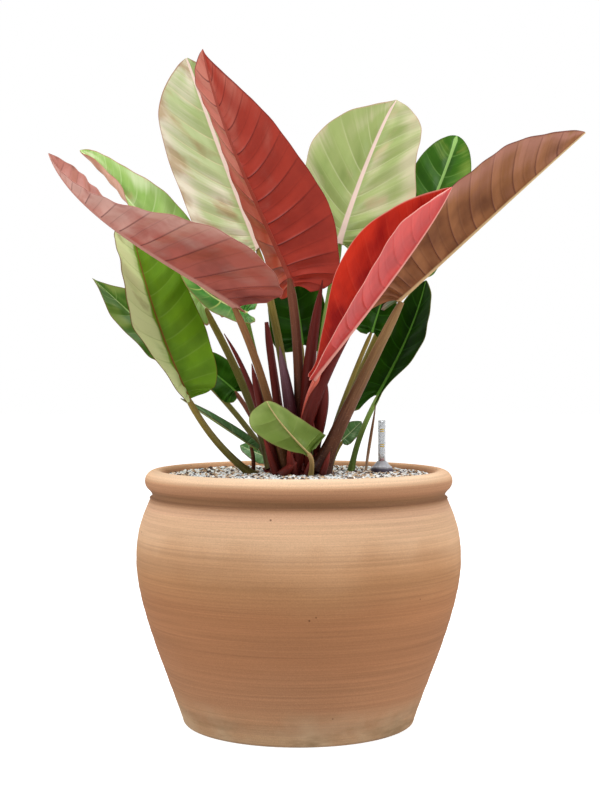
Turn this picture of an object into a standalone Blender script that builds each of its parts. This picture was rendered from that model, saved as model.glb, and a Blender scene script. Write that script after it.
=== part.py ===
"""Potted philodendron: terracotta pot, mineral granulate, water gauge and a tufted leafy plant.

Metres, +Z up.  The origin is the centre of the pot's foot, on the surface that it stands on.
The front of the plant looks along -Y.  Every leaf is a blade and a stalk of its own.
"""

import math

import bmesh
import bpy
from mathutils import Vector

# ------------------------------------------------------------------ driving dimensions, metres
GAP = 0.0004                  # clearance between pieces that touch
ROUND_SIDES = 16              # sides of small round pieces

# Pot.  The outside runs from the foot to the belly and on to the neck along two Bezier curves.
FOOT_RADIUS = 0.1310
FOOT_ROUND = 0.0045           # rounding of the foot's edge
BELLY = (0.1893, 0.1900)      # radius and height of the widest place
NECK = (0.1722, 0.2625)       # radius and height of the groove under the rim
LOWER_CURVE = ((FOOT_RADIUS + FOOT_ROUND, FOOT_ROUND), (0.1534, 0.0590), (BELLY[0], 0.1350), BELLY)
UPPER_CURVE = (BELLY, (BELLY[0], 0.2220), (0.1822, 0.2405), NECK)
INNER_START = 0.12            # share of the lower curve that the inner wall leaves out
RIM_TUBE = 0.0125             # radius of the rolled rim
RIM_CENTRE = (0.1667, 0.2815)
WALL = 0.0120
FLOOR = 0.0140                # thickness of the pot's floor
POT_SEGMENTS = 40
FILL_HEIGHT = 0.2865          # top of the granulate
WELL_SPACE = 0.0040           # from the gauge's lower end to the bottom of its bore
CUTTER_RISE = 0.0100          # how far the bore's cutter stands out above the granulate

# Water gauge
GAUGE_X, GAUGE_Y = 0.0990, 0.0300
TUBE_OUTER = 0.0044
TUBE_INNER = 0.0034
TUBE_TOP = 0.3500
TUBE_BOTTOM = 0.0300
TUBE_CAP = 0.0012             # thickness of the tube's closed top
COLLAR_RADIUS = 0.0135
COLLAR_HEIGHT = 0.0060
CONE_HEIGHT = 0.0080
CONE_TOP_RADIUS = 0.0062
GAUGE_ROUND = 0.0006          # rounding of the tube's and the marker's edges
CHAMFER = 0.0010              # bevels of the collar and the float
CONE_BASE = 0.0020            # height of the cone's nearly upright foot
BUOY_RADIUS = 0.0031          # foam at the bottom of the float
BUOY_HEIGHT = 0.0300
ROD_RADIUS = 0.0012
MARKER_RADIUS = 0.0027        # red head that is read against the marks
MARKER_HEIGHT = 0.0050
FLOAT_BOTTOM = 0.0320
FLOAT_TOP = 0.3045            # top of the marker with the reservoir empty

# Plant
CROWN_CENTRE = (0.0000, 0.0120)
CROWN_RADIUS = 0.0400
CROWN_STRETCH = 1.08          # the crown is a little longer along X
CROWN_TOP = 0.2962
CROWN_SIDE = 0.0040           # height of its upright side
CROWN_SHOULDER = 0.0030       # how far the shoulder above it leans in
CROWN_BEVEL = (0.0040, 0.0015)
BLADE_THICKNESS = 0.0014
RIB_DEPTH = 0.0030            # how far the midrib stands out under the blade at its base
STALK_SPACE = 0.0016          # from the end of a stalk to the base of its blade
SHEATH_TIP = 0.0008           # radius of a sheath's point
CURL = math.radians(-8.0)     # how far half a blade turns back towards its margin
WELD = 0.0004                 # grid points closer than this at a blade's tip become one
CROWDING = 1.3                # above 1, a blade's grid is finer near the midrib

# Leaf outline, as stations along half a blade.  Each station is a side vein: where it leaves the
# midrib, and where it meets the margin as a share of the half width and of the midrib's length.
VEIN_START = (0.000, 0.015, 0.045, 0.110, 0.210, 0.340, 0.490, 0.640, 0.790, 0.920, 1.000)
VEIN_END = (-0.075, -0.085, -0.030, 0.090, 0.250, 0.430, 0.610, 0.765, 0.890, 0.968, 1.000)
HALF_WIDTH = (0.26, 0.60, 0.86, 0.98, 1.00, 0.96, 0.85, 0.65, 0.38, 0.12, 0.00)

COLOURS = {
    "red_underside": (0.38, 0.05, 0.03),
    "cream_green": (0.48, 0.52, 0.24),
    "rose_underside": (0.42, 0.14, 0.11),
    "light_green": (0.34, 0.56, 0.18),
    "green": (0.11, 0.22, 0.03),
    "dark_green": (0.02, 0.09, 0.02),
    "pale_green": (0.38, 0.50, 0.22),
    "bronze_underside": (0.20, 0.09, 0.04),
    "scarlet": (0.60, 0.06, 0.03),
    "olive_green": (0.20, 0.28, 0.06),
    "grey_green": (0.18, 0.24, 0.14),
    "stalk_brown": (0.24, 0.10, 0.07),
    "stalk_olive": (0.16, 0.14, 0.05),
    "stalk_green": (0.14, 0.24, 0.06),
    "stalk_coral": (0.45, 0.10, 0.08),
    "sheath_dark_red": (0.09, 0.01, 0.01),
    "sheath_brown": (0.22, 0.08, 0.04),
    "terracotta": (0.56, 0.29, 0.15),
    "granulate": (0.45, 0.42, 0.40),
    "crown_bark": (0.10, 0.04, 0.03),
    "clear_plastic": (0.80, 0.82, 0.84),
    "dark_plastic": (0.05, 0.04, 0.06),
    "float_red": (0.60, 0.08, 0.03),
}


def leaf(name, colour, rib, face, width, fold, root, stalk, radius, stalk_colour,
         base=1.0, point=1.0, lobe=(1, 1), half=(HALF_WIDTH, HALF_WIDTH), rows=10, cols=8):
    """One leaf.  Pairs are (left, right) seen from the upper side, but face is (base, tip).
    rib: four Bezier points of the midrib.  face: the way the upper side looks.  fold: degrees that
    each half rises from flat, or a list of them from base to tip.  base and point: above 1 the
    blade is narrower there, below 1 broader.  lobe: length of the basal lobes.  half: outline of
    each half.  root: where the stalk stands.  stalk: its two inner Bezier points.  radius: of the
    stalk, at the root and at the blade.  rows and cols: faces along and across the blade."""
    fold = [angle if isinstance(angle, tuple) else (angle, angle) for angle in fold]
    return dict(name=name, colour=colour, rib=rib, face=face, width=width, fold=fold, root=root,
                stalk=stalk, radius=radius, stalk_colour=stalk_colour, base=base, point=point,
                lobe=lobe, half=half, rows=rows, cols=cols)


LEAVES = (
    leaf("tall_red", "red_underside",
         rib=((-0.005, -0.038, 0.505), (-0.035, -0.055, 0.575),
              (-0.088, -0.088, 0.675), (-0.105, -0.098, 0.762)),
         face=((0.60, 0.80, 0.10), (0.60, 0.80, 0.10)), width=(0.075, 0.060),
         fold=(28, (14, 30, 37, 30, 2)),
         half=((0.20, 0.45, 0.68, 0.88, 0.98, 0.92, 0.76, 0.49, 0.22, 0.04, 0.0),
               (0.30, 0.55, 0.78, 0.90, 0.86, 0.78, 0.74, 0.66, 0.56, 0.22, 0.0)),
         root=(-0.001, 0.006), stalk=((0.003, -0.004, 0.375), (0.000, -0.024, 0.456)),
         radius=(0.0058, 0.0048), stalk_colour="stalk_brown", lobe=(0.6, 0.5)),
    leaf("back_left_cream", "cream_green",
         rib=((-0.048, 0.060, 0.558), (-0.069, 0.072, 0.604),
              (-0.110, 0.105, 0.713), (-0.140, 0.122, 0.799)),
         face=((-0.10, -0.95, 0.25), (-0.10, -0.95, 0.25)), width=(0.072, 0.066),
         fold=(12, 12),
         half=((0.25, 0.55, 0.80, 0.90, 0.90, 0.91, 0.90, 0.83, 0.55, 0.24, 0.03),
               (0.25, 0.60, 0.85, 0.95, 0.95, 0.90, 0.80, 0.62, 0.42, 0.14, 0.02)),
         root=(-0.008, 0.022), stalk=((-0.012, 0.030, 0.392), (-0.022, 0.038, 0.450)),
         radius=(0.0048, 0.0040), stalk_colour="stalk_olive"),
    leaf("left_rose", "rose_underside",
         rib=((-0.069, -0.075, 0.480), (-0.122, -0.105, 0.519),
              (-0.244, -0.125, 0.572), (-0.272, -0.112, 0.646)),
         face=((0.57, 0.42, 0.70), (0.63, -0.10, 0.77)), width=(0.072, 0.066),
         fold=(25, 25),
         half=((0.45, 0.78, 0.95, 1.22, 1.36, 1.20, 0.74, 0.34, 0.12, 0.04, 0.0),
               (0.30, 0.60, 0.80, 0.90, 0.90, 0.90, 0.90, 0.80, 0.62, 0.25, 0.0)),
         root=(-0.016, -0.010), stalk=((-0.031, -0.025, 0.369), (-0.048, -0.050, 0.427)),
         radius=(0.0048, 0.0036), stalk_colour="stalk_brown", lobe=(1.6, 1.0)),
    leaf("left_light_green", "light_green",
         rib=((-0.112, 0.045, 0.484), (-0.150, 0.062, 0.549),
              (-0.213, 0.090, 0.631), (-0.272, 0.112, 0.683)),
         face=((0.10, -0.75, 0.60), (0.20, -0.60, 0.75)), width=(0.030, 0.044),
         fold=(30, 18),
         half=((0.25, 0.50, 0.80, 0.95, 1.00, 0.95, 0.85, 0.74, 0.52, 0.26, 0.0),
               (0.26, 0.60, 0.85, 1.00, 1.05, 1.06, 0.95, 0.66, 0.46, 0.24, 0.02)),
         root=(-0.032, 0.012), stalk=((-0.055, 0.024, 0.378), (-0.088, 0.035, 0.440)),
         radius=(0.0046, 0.0036), stalk_colour="stalk_green"),
    leaf("left_big_green", "green",
         rib=((-0.126, -0.025, 0.376), (-0.153, -0.030, 0.433),
              (-0.181, -0.015, 0.512), (-0.196, 0.005, 0.579)),
         face=((0.57, -0.82, 0.20), (0.57, -0.82, 0.20)), width=(0.055, 0.050),
         fold=((54, 54, 28, 22, 20), 25),
         half=((0.20, 0.40, 0.60, 0.75, 0.85, 0.90, 0.72, 0.66, 0.64, 0.45, 0.10),
               (0.35, 0.48, 0.60, 0.86, 0.95, 1.00, 0.93, 0.82, 0.60, 0.30, 0.0)),
         root=(-0.052, 0.002), stalk=((-0.074, -0.004, 0.302), (-0.106, -0.015, 0.330)),
         radius=(0.0042, 0.0032), stalk_colour="stalk_olive", lobe=(0.1, 0.1)),
    leaf("far_left_dark", "dark_green",
         rib=((-0.158, 0.085, 0.434), (-0.185, 0.088, 0.459),
              (-0.223, 0.096, 0.494), (-0.256, 0.105, 0.524)),
         face=((0.30, -0.75, 0.60), (0.30, -0.75, 0.60)), width=(0.034, 0.034),
         fold=(15, 15),
         root=(-0.030, 0.034), stalk=((-0.065, 0.060, 0.349), (-0.115, 0.075, 0.404)),
         radius=(0.0036, 0.0028), stalk_colour="stalk_olive", point=1.7, rows=8, cols=6),
    leaf("left_inner_green", "green",
         rib=((-0.060, 0.008, 0.477), (-0.090, 0.003, 0.486),
              (-0.120, -0.004, 0.503), (-0.142, -0.010, 0.540)),
         face=((0.10, -0.60, 0.80), (0.40, -0.60, 0.60)), width=(0.034, 0.034),
         fold=(15, 15),
         root=(-0.021, 0.014), stalk=((-0.037, 0.008, 0.375), (-0.056, 0.006, 0.440)),
         radius=(0.0038, 0.0030), stalk_colour="stalk_green", rows=8, cols=6),
    leaf("back_right_pale", "pale_green",
         rib=((0.050, 0.105, 0.567), (0.061, 0.120, 0.606),
              (0.097, 0.148, 0.708), (0.124, 0.158, 0.754)),
         face=((-0.10, -0.95, 0.30), (-0.10, -0.95, 0.30)), width=(0.071, 0.070),
         fold=(14, 14),
         half=((0.26, 0.55, 0.80, 0.90, 0.95, 1.00, 1.02, 0.73, 0.32, 0.08, 0.0),
               (0.30, 0.60, 0.90, 1.00, 1.10, 1.09, 0.88, 0.82, 0.62, 0.32, 0.02)),
         root=(0.012, 0.030), stalk=((0.020, 0.055, 0.392), (0.033, 0.085, 0.483)),
         radius=(0.0050, 0.0040), stalk_colour="stalk_green"),
    leaf("far_right_green", "green",
         rib=((0.136, 0.118, 0.545), (0.152, 0.130, 0.583),
              (0.184, 0.150, 0.651), (0.202, 0.163, 0.709)),
         face=((0.00, -0.95, 0.30), (0.00, -0.95, 0.30)), width=(0.046, 0.042),
         fold=(14, 14),
         root=(0.026, 0.036), stalk=((0.046, 0.064, 0.349), (0.100, 0.108, 0.450)),
         radius=(0.0048, 0.0036), stalk_colour="stalk_olive", point=0.6),
    leaf("right_bronze", "bronze_underside",
         rib=((0.114, -0.036, 0.488), (0.160, -0.048, 0.529),
              (0.240, -0.062, 0.604), (0.321, -0.066, 0.676)),
         face=((-0.58, 0.50, 0.63), (-0.58, 0.50, 0.63)), width=(0.066, 0.066),
         fold=(42, 30),
         half=((0.25, 0.50, 0.70, 0.85, 0.90, 0.90, 0.85, 0.70, 0.45, 0.18, 0.0),
               (0.30, 0.65, 0.90, 1.00, 1.00, 1.00, 0.92, 0.83, 0.50, 0.20, 0.02)),
         root=(0.025, -0.016), stalk=((0.042, -0.024, 0.338), (0.084, -0.026, 0.420)),
         radius=(0.0070, 0.0044), stalk_colour="stalk_brown", lobe=(1.0, 1.8)),
    leaf("new_scarlet", "scarlet",
         rib=((0.017, -0.056, 0.400), (0.050, -0.086, 0.443),
              (0.139, -0.129, 0.551), (0.163, -0.146, 0.605)),
         face=((-0.66, -0.52, 0.55), (-0.66, -0.52, 0.55)), width=(0.052, 0.048),
         fold=(59, 59),
         half=((0.08, 0.12, 0.15, 0.20, 0.56, 1.02, 1.12, 0.86, 0.46, 0.15, 0.0),
               (0.08, 0.12, 0.15, 0.18, 0.46, 0.82, 1.16, 1.40, 0.68, 0.20, 0.0)),
         root=(0.002, -0.012), stalk=((0.002, -0.016, 0.350), (0.008, -0.036, 0.380)),
         radius=(0.0036, 0.0032), stalk_colour="stalk_coral", lobe=(0.1, 0.1)),
    leaf("right_low_dark", "dark_green",
         rib=((0.096, 0.060, 0.379), (0.114, 0.068, 0.412),
              (0.144, 0.078, 0.464), (0.156, 0.086, 0.520)),
         face=((-0.54, -0.84, 0.10), (-0.54, -0.84, 0.10)), width=(0.042, 0.032),
         fold=(20, 32),
         half=((0.30, 0.42, 0.48, 0.52, 0.56, 0.60, 0.60, 0.50, 0.35, 0.15, 0.0),
               (0.08, 0.12, 0.15, 0.30, 0.62, 1.00, 1.15, 0.90, 0.60, 0.25, 0.0)),
         root=(0.062, 0.040), stalk=((0.068, 0.044, 0.320), (0.078, 0.052, 0.345)),
         radius=(0.0032, 0.0026), stalk_colour="stalk_green", lobe=(2.2, 1.0)),
    leaf("front_small_olive", "olive_green",
         rib=((0.011, -0.060, 0.315), (-0.003, -0.070, 0.330),
              (-0.026, -0.078, 0.354), (-0.036, -0.079, 0.375)),
         face=((-0.10, 0.95, -0.30), (-0.10, 0.95, -0.30)), width=(0.030, 0.032),
         fold=(6, 8),
         half=((0.60, 0.90, 1.00, 0.96, 0.84, 0.74, 0.61, 0.47, 0.30, 0.14, 0.0),
               (0.05, 0.08, 0.12, 0.20, 0.52, 0.73, 0.95, 1.00, 0.88, 0.60, 0.10)),
         root=(0.013, -0.040), stalk=((0.016, -0.046, 0.302), (0.016, -0.062, 0.308)),
         radius=(0.0026, 0.0020), stalk_colour="stalk_olive", lobe=(0.6, 0.3), rows=8, cols=6),
    leaf("left_low_dark", "dark_green",
         rib=((-0.075, 0.048, 0.383), (-0.089, 0.050, 0.397),
              (-0.113, 0.055, 0.415), (-0.141, 0.062, 0.434)),
         face=((0.20, -0.80, 0.55), (0.20, -0.80, 0.55)), width=(0.026, 0.026),
         fold=(15, 15),
         root=(-0.032, 0.024), stalk=((-0.045, 0.036, 0.330), (-0.056, 0.042, 0.361)),
         radius=(0.0034, 0.0026), stalk_colour="stalk_brown", rows=8, cols=6),
    leaf("centre_back_dark", "dark_green",
         rib=((0.004, 0.085, 0.441), (0.002, 0.092, 0.466),
              (-0.004, 0.108, 0.510), (-0.014, 0.125, 0.554)),
         face=((0.10, -0.95, 0.30), (0.10, -0.95, 0.30)), width=(0.040, 0.036),
         fold=(14, 14),
         root=(0.002, 0.040), stalk=((0.004, 0.052, 0.345), (0.005, 0.070, 0.395)),
         radius=(0.0036, 0.0028), stalk_colour="stalk_olive", rows=8, cols=6),
    leaf("right_inner_dark", "dark_green",
         rib=((0.088, 0.040, 0.455), (0.092, 0.046, 0.470),
              (0.100, 0.054, 0.492), (0.108, 0.062, 0.515)),
         face=((0.10, -0.95, 0.30), (0.10, -0.95, 0.30)), width=(0.024, 0.024),
         fold=(14, 14),
         root=(0.028, 0.018), stalk=((0.045, 0.022, 0.357), (0.065, 0.032, 0.405)),
         radius=(0.0030, 0.0024), stalk_colour="stalk_olive", rows=8, cols=6),
    leaf("right_small_grey", "grey_green",
         rib=((0.053, 0.075, 0.324), (0.061, 0.078, 0.331),
              (0.070, 0.080, 0.340), (0.077, 0.082, 0.347)),
         face=((-0.20, -0.80, 0.55), (-0.20, -0.80, 0.55)), width=(0.013, 0.013),
         fold=(14, 14),
         root=(0.038, 0.060), stalk=((0.041, 0.065, 0.300), (0.045, 0.070, 0.312)),
         radius=(0.0022, 0.0018), stalk_colour="stalk_olive", rows=6, cols=4),
    leaf("left_narrow_folded", "grey_green",
         rib=((-0.055, 0.006, 0.320), (-0.071, 0.004, 0.332),
              (-0.100, 0.002, 0.350), (-0.138, 0.000, 0.377)),
         face=((0.30, -0.60, 0.75), (0.30, -0.60, 0.75)), width=(0.016, 0.016),
         fold=(50, 50),
         root=(-0.054, 0.020), stalk=((-0.053, 0.014, 0.300), (-0.053, 0.010, 0.311)),
         radius=(0.0026, 0.0020), stalk_colour="stalk_brown", rows=8, cols=4),
    leaf("left_low_grey", "grey_green",
         rib=((-0.037, 0.060, 0.303), (-0.048, 0.064, 0.308),
              (-0.060, 0.068, 0.313), (-0.072, 0.072, 0.318)),
         face=((0.10, -0.80, 0.60), (0.10, -0.80, 0.60)), width=(0.014, 0.014),
         fold=(14, 14),
         root=(-0.029, 0.056), stalk=((-0.031, 0.057, 0.294), (-0.034, 0.059, 0.299)),
         radius=(0.0022, 0.0018), stalk_colour="stalk_brown", rows=6, cols=4),
)

# Pointed sheaths that the leaves grew out of: root on the crown, two inner Bezier points, tip,
# and the radius at the root.
SHEATHS = (
    ("tall", "sheath_dark_red", (0.008, 0.001),
     ((0.003, -0.016, 0.387), (0.019, -0.038, 0.467), (0.027, -0.056, 0.511)), 0.0050),
    ("right", "sheath_dark_red", (-0.003, -0.026),
     ((0.007, -0.042, 0.372), (0.045, -0.054, 0.440), (0.076, -0.062, 0.485)), 0.0050),
    ("purple", "sheath_dark_red", (-0.006, -0.009),
     ((-0.006, -0.014, 0.365), (-0.018, -0.018, 0.405), (-0.022, -0.020, 0.437)), 0.0044),
    ("brown", "sheath_brown", (-0.015, 0.006),
     ((-0.025, 0.006, 0.375), (-0.034, 0.005, 0.433), (-0.038, 0.005, 0.466)), 0.0034),
    ("left_thin", "sheath_dark_red", (-0.026, -0.004),
     ((-0.051, -0.004, 0.386), (-0.068, -0.005, 0.421), (-0.087, -0.005, 0.452)), 0.0030),
    ("left", "sheath_dark_red", (-0.026, -0.014),
     ((-0.042, -0.020, 0.358), (-0.050, -0.025, 0.392), (-0.054, -0.028, 0.417)), 0.0038),
    ("front", "sheath_dark_red", (0.019, -0.002),
     ((0.022, -0.022, 0.350), (0.031, -0.032, 0.380), (0.027, -0.038, 0.410)), 0.0050),
    ("dry", "sheath_brown", (0.080, 0.045),
     ((0.084, 0.045, 0.319), (0.089, 0.042, 0.344), (0.092, 0.038, 0.368)), 0.0018),
)


# ------------------------------------------------------------------------------ small helpers
def bezier(points, t):
    """Point on a cubic Bezier curve."""
    a, b, c, d = (Vector(p) for p in points)
    s = 1.0 - t
    return a * s**3 + b * 3 * s * s * t + c * 3 * s * t * t + d * t**3


def bezier_tangent(points, t):
    """Unit direction of a cubic Bezier curve."""
    a, b, c, d = (Vector(p) for p in points)
    s = 1.0 - t
    return ((b - a) * s * s + (c - b) * 2 * s * t + (d - c) * t * t).normalized()


def bezier_length(points, steps=24):
    """Length of a Bezier curve."""
    places = [bezier(points, k / steps) for k in range(steps + 1)]
    return sum((end - start).length for start, end in zip(places, places[1:]))


def table(values, t):
    """Catmull-Rom reading of equally spaced values, t from 0 to 1."""
    last = len(values) - 1
    at = min(max(t, 0.0), 1.0) * last
    first = min(int(at), last - 1)
    f = at - first
    p0, p1, p2, p3 = (values[min(max(k, 0), last)] for k in range(first - 1, first + 3))
    return 0.5 * (2 * p1 + (p2 - p0) * f + (2 * p0 - 5 * p1 + 4 * p2 - p3) * f * f
                  + (3 * p1 - p0 - 3 * p2 + p3) * f**3)


def arc(centre, radius, start, end, steps):
    """Points of an arc in the (radius, height) plane, angles in degrees."""
    angles = [math.radians(start + (end - start) * k / steps) for k in range(steps + 1)]
    return [(centre[0] + radius * math.cos(a), centre[1] + radius * math.sin(a)) for a in angles]


def material(name):
    """A Principled material, made once for each name."""
    found = bpy.data.materials.get(name)
    if found:
        return found
    made = bpy.data.materials.new(name)
    made.use_nodes = True
    colour = (*COLOURS[name], 1.0)
    shader = made.node_tree.nodes["Principled BSDF"]
    shader.inputs["Base Color"].default_value = colour
    shader.inputs["Roughness"].default_value = 0.9 if name in ("terracotta", "granulate") else 0.45
    shader.inputs["Metallic"].default_value = 0.0
    made.diffuse_color = colour
    return made


def add_object(name, data, colour):
    """Put a mesh or a curve in the scene with its material."""
    made = bpy.data.objects.new(name, data)
    bpy.context.scene.collection.objects.link(made)
    data.materials.append(material(colour))
    return made


def mesh_from(bm, name, colour, smooth_angle):
    """Turn a bmesh into an object, shaded smooth up to the given edge angle in degrees."""
    bmesh.ops.recalc_face_normals(bm, faces=bm.faces[:])
    mesh = bpy.data.meshes.new(name)
    bm.to_mesh(mesh)
    bm.free()
    mesh.shade_smooth()
    mesh.set_sharp_from_angle(angle=math.radians(smooth_angle))
    return add_object(name, mesh, colour)


def turned(name, colour, profile, segments, centre=(0.0, 0.0), stretch=1.0):
    """Spin a profile of (radius, height) points round a vertical axis.  A profile that starts and
    ends on the axis is closed there; any other is joined end to end."""
    bm = bmesh.new()
    corners = [bm.verts.new((r, 0.0, z)) for r, z in profile]
    edges = [bm.edges.new(pair) for pair in zip(corners, corners[1:])]
    if profile[0][0] > 0.0:
        edges.append(bm.edges.new((corners[-1], corners[0])))
    bmesh.ops.spin(bm, geom=corners + edges, cent=(0, 0, 0), axis=(0, 0, 1),
                   angle=2 * math.pi, steps=segments, use_merge=True)
    bmesh.ops.remove_doubles(bm, verts=bm.verts[:], dist=1e-6)
    bmesh.ops.scale(bm, verts=bm.verts[:], vec=(stretch, 1.0, 1.0))
    bmesh.ops.translate(bm, verts=bm.verts[:], vec=(*centre, 0.0))
    return mesh_from(bm, name, colour, 40.0)


# --------------------------------------------------------------------------------------- pot
def body_profile(inset, first, steps):
    """The pot's body from the foot to the neck, moved in by inset.  first is the share of the
    lower curve to skip, steps the number of points on each curve."""
    points = []
    for k in range(steps + 1):
        at = bezier([(r, z, 0.0) for r, z in LOWER_CURVE], first + (1.0 - first) * k / steps)
        points.append((at.x - inset, at.y))
    for k in range(1, steps):
        at = bezier([(r, z, 0.0) for r, z in UPPER_CURVE], k / (steps - 1))
        points.append((at.x - inset, at.y))
    return points


def make_pot():
    """Thrown pot: closed floor, round belly and a rolled rim."""
    outer = [(0.0, 0.0)]
    outer += arc((FOOT_RADIUS, FOOT_ROUND), FOOT_ROUND, -90, -30, 2)
    outer += body_profile(0.0, 0.0, 7)
    rim = arc(RIM_CENTRE, RIM_TUBE, -70, 200, 10)
    inner = body_profile(WALL, INNER_START, 6)[::-1]
    inner += [(FOOT_RADIUS - WALL, FLOOR), (0.0, FLOOR)]
    return turned("pot", "terracotta", outer + rim + inner, POT_SEGMENTS)


def make_granulate():
    """The mineral granulate that fills the pot, with a bore for the gauge."""
    inset = WALL + GAP
    mouth = RIM_CENTRE[0] - RIM_TUBE - GAP
    under_rim = RIM_CENTRE[1] - 0.3 * RIM_TUBE
    profile = [(0.0, FLOOR + GAP), (FOOT_RADIUS - WALL - GAP, FLOOR + GAP)]
    profile += body_profile(inset, INNER_START, 6)
    profile += [(mouth, under_rim), (mouth, FILL_HEIGHT), (0.0, FILL_HEIGHT)]
    filling = turned("granulate", "granulate", profile, POT_SEGMENTS)
    well = TUBE_OUTER + GAP
    low = TUBE_BOTTOM - WELL_SPACE
    high = FILL_HEIGHT + CUTTER_RISE
    bore = turned("gauge_well", "granulate", [(0.0, low), (well, low), (well, high), (0.0, high)],
                  ROUND_SIDES, (GAUGE_X, GAUGE_Y))
    bore.hide_render = True
    bore.display_type = "WIRE"
    cut = filling.modifiers.new("gauge_well", "BOOLEAN")
    cut.operation = "DIFFERENCE"
    cut.object = bore
    return filling


# ------------------------------------------------------------------------------- water gauge
def make_gauge():
    """Water gauge: a capped clear tube in a collar and a cone, with a float and its red marker."""
    centre = (GAUGE_X, GAUGE_Y)
    inside_top = TUBE_TOP - TUBE_CAP
    turned("gauge_tube", "clear_plastic",
           [(0.0, inside_top), (TUBE_INNER, inside_top), (TUBE_INNER, TUBE_BOTTOM),
            (TUBE_OUTER, TUBE_BOTTOM), (TUBE_OUTER, TUBE_TOP - GAUGE_ROUND),
            (TUBE_OUTER - GAUGE_ROUND, TUBE_TOP), (0.0, TUBE_TOP)], ROUND_SIDES, centre)
    around = TUBE_OUTER + GAP
    low = FILL_HEIGHT + GAP
    high = low + COLLAR_HEIGHT
    turned("gauge_collar", "dark_plastic",
           [(around, low), (COLLAR_RADIUS, low), (COLLAR_RADIUS, high - CHAMFER),
            (COLLAR_RADIUS - CHAMFER, high), (around, high)], 20, centre)
    seat = high + GAP
    turned("gauge_cone", "clear_plastic",
           [(around, seat), (COLLAR_RADIUS - CHAMFER, seat),
            (COLLAR_RADIUS - 2 * CHAMFER, seat + CONE_BASE),
            (CONE_TOP_RADIUS, seat + CONE_HEIGHT), (around, seat + CONE_HEIGHT)], 20, centre)
    buoy_top = FLOAT_BOTTOM + BUOY_HEIGHT
    head = FLOAT_TOP - MARKER_HEIGHT
    turned("gauge_float", "float_red",
           [(0.0, FLOAT_BOTTOM), (BUOY_RADIUS, FLOAT_BOTTOM), (BUOY_RADIUS, buoy_top),
            (ROD_RADIUS, buoy_top + CHAMFER), (ROD_RADIUS, head - CHAMFER), (MARKER_RADIUS, head),
            (MARKER_RADIUS, FLOAT_TOP - GAUGE_ROUND), (MARKER_RADIUS - GAUGE_ROUND, FLOAT_TOP),
            (0.0, FLOAT_TOP)], 12, centre)


# ------------------------------------------------------------------------------------ plant
def blade_frame(spec, t):
    """Centre, direction and upper normal of the midrib at t."""
    tangent = bezier_tangent(spec["rib"], t)
    normal = Vector(spec["face"][0]).lerp(Vector(spec["face"][1]), t)
    normal = (normal - tangent * normal.dot(tangent)).normalized()
    return bezier(spec["rib"], t), tangent, normal


def blade_point(spec, length, across, along):
    """Where a point of the flat blade lies in space.  across runs from -1, the left margin, to 1,
    the right; along is the station of the side vein, from 0 at the base to 1 at the tip."""
    side = 1 if across > 0 else 0
    share = abs(across)
    start, end = table(VEIN_START, along), table(VEIN_END, along)
    if end < 0:
        end *= spec["lobe"][side]
    narrowing = spec["base"] + (spec["point"] - spec["base"]) * min(2.0 * along, 1.0)
    reach = max(table(spec["half"][side], along), 0.0) ** narrowing
    sweep = 1.6 + 0.6 * (1.0 - along) ** 6
    place = start + (end - start) * share**sweep
    distance = reach * spec["width"][side] * share
    t = min(max(place, 0.0), 1.0)
    centre, tangent, normal = blade_frame(spec, t)
    centre += tangent * (place - t) * length
    sideways = tangent.cross(normal) * (1 if side else -1)
    lean = math.radians(table(spec["fold"][side], along))
    turn = CURL * share * max(reach, 0.05)
    out = distance * (math.sin(lean + turn) - math.sin(lean)) / turn if share else 0.0
    lift = distance * (math.cos(lean) - math.cos(lean + turn)) / turn if share else 0.0
    return centre + sideways * out + normal * lift


def make_blade(spec):
    """A leaf blade: a grid whose rows follow the side veins, bent to shape and given thickness."""
    length = bezier_length(spec["rib"])
    bm = bmesh.new()
    bmesh.ops.create_grid(bm, x_segments=spec["cols"], y_segments=spec["rows"], size=1.0)
    rib = bm.verts.layers.float.new("rib")
    for vert in bm.verts:
        across, along = vert.co.x, 0.5 * (vert.co.y + 1.0)
        across = math.copysign(abs(across) ** CROWDING, across)
        vert[rib] = 1.0 - along if abs(across) < 1e-4 else 0.0
        vert.co = blade_point(spec, length, across, along)
    bmesh.ops.remove_doubles(bm, verts=bm.verts[:], dist=WELD)
    bm.normal_update()
    normals = {tuple(vert.co): vert.normal.copy() for vert in bm.verts}
    grown = bmesh.ops.extrude_face_region(bm, geom=bm.faces[:])
    for vert in grown["geom"]:
        if isinstance(vert, bmesh.types.BMVert):
            depth = BLADE_THICKNESS + RIB_DEPTH * vert[rib]
            vert.co -= normals[tuple(vert.co)] * depth
    return mesh_from(bm, "blade_" + spec["name"], spec["colour"], 60.0)


def rooted(root, inner, radius):
    """First Bezier point of a stalk: its end face just clears the crown or the granulate."""
    dx = (root[0] - CROWN_CENTRE[0]) / CROWN_STRETCH
    dy = root[1] - CROWN_CENTRE[1]
    ground = CROWN_TOP if math.hypot(dx, dy) < CROWN_RADIUS else FILL_HEIGHT
    lift = Vector(inner) - Vector((*root, ground))
    slope = math.hypot(lift.x, lift.y) / lift.length
    return (*root, ground + GAP + radius * slope)


def make_rod(name, colour, points, radius, steps, resolution):
    """A stalk or a sheath: a round rod along a Bezier curve, from one radius to the other."""
    curve = bpy.data.curves.new(name, "CURVE")
    curve.dimensions = "3D"
    curve.bevel_depth = 1.0
    curve.bevel_resolution = resolution
    curve.use_fill_caps = True
    spline = curve.splines.new("POLY")
    spline.points.add(steps)
    for k in range(steps + 1):
        t = k / steps
        spline.points[k].co = (*bezier(points, t), 1.0)
        spline.points[k].radius = radius[0] + (radius[1] - radius[0]) * t
    return add_object(name, curve, colour)


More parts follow.
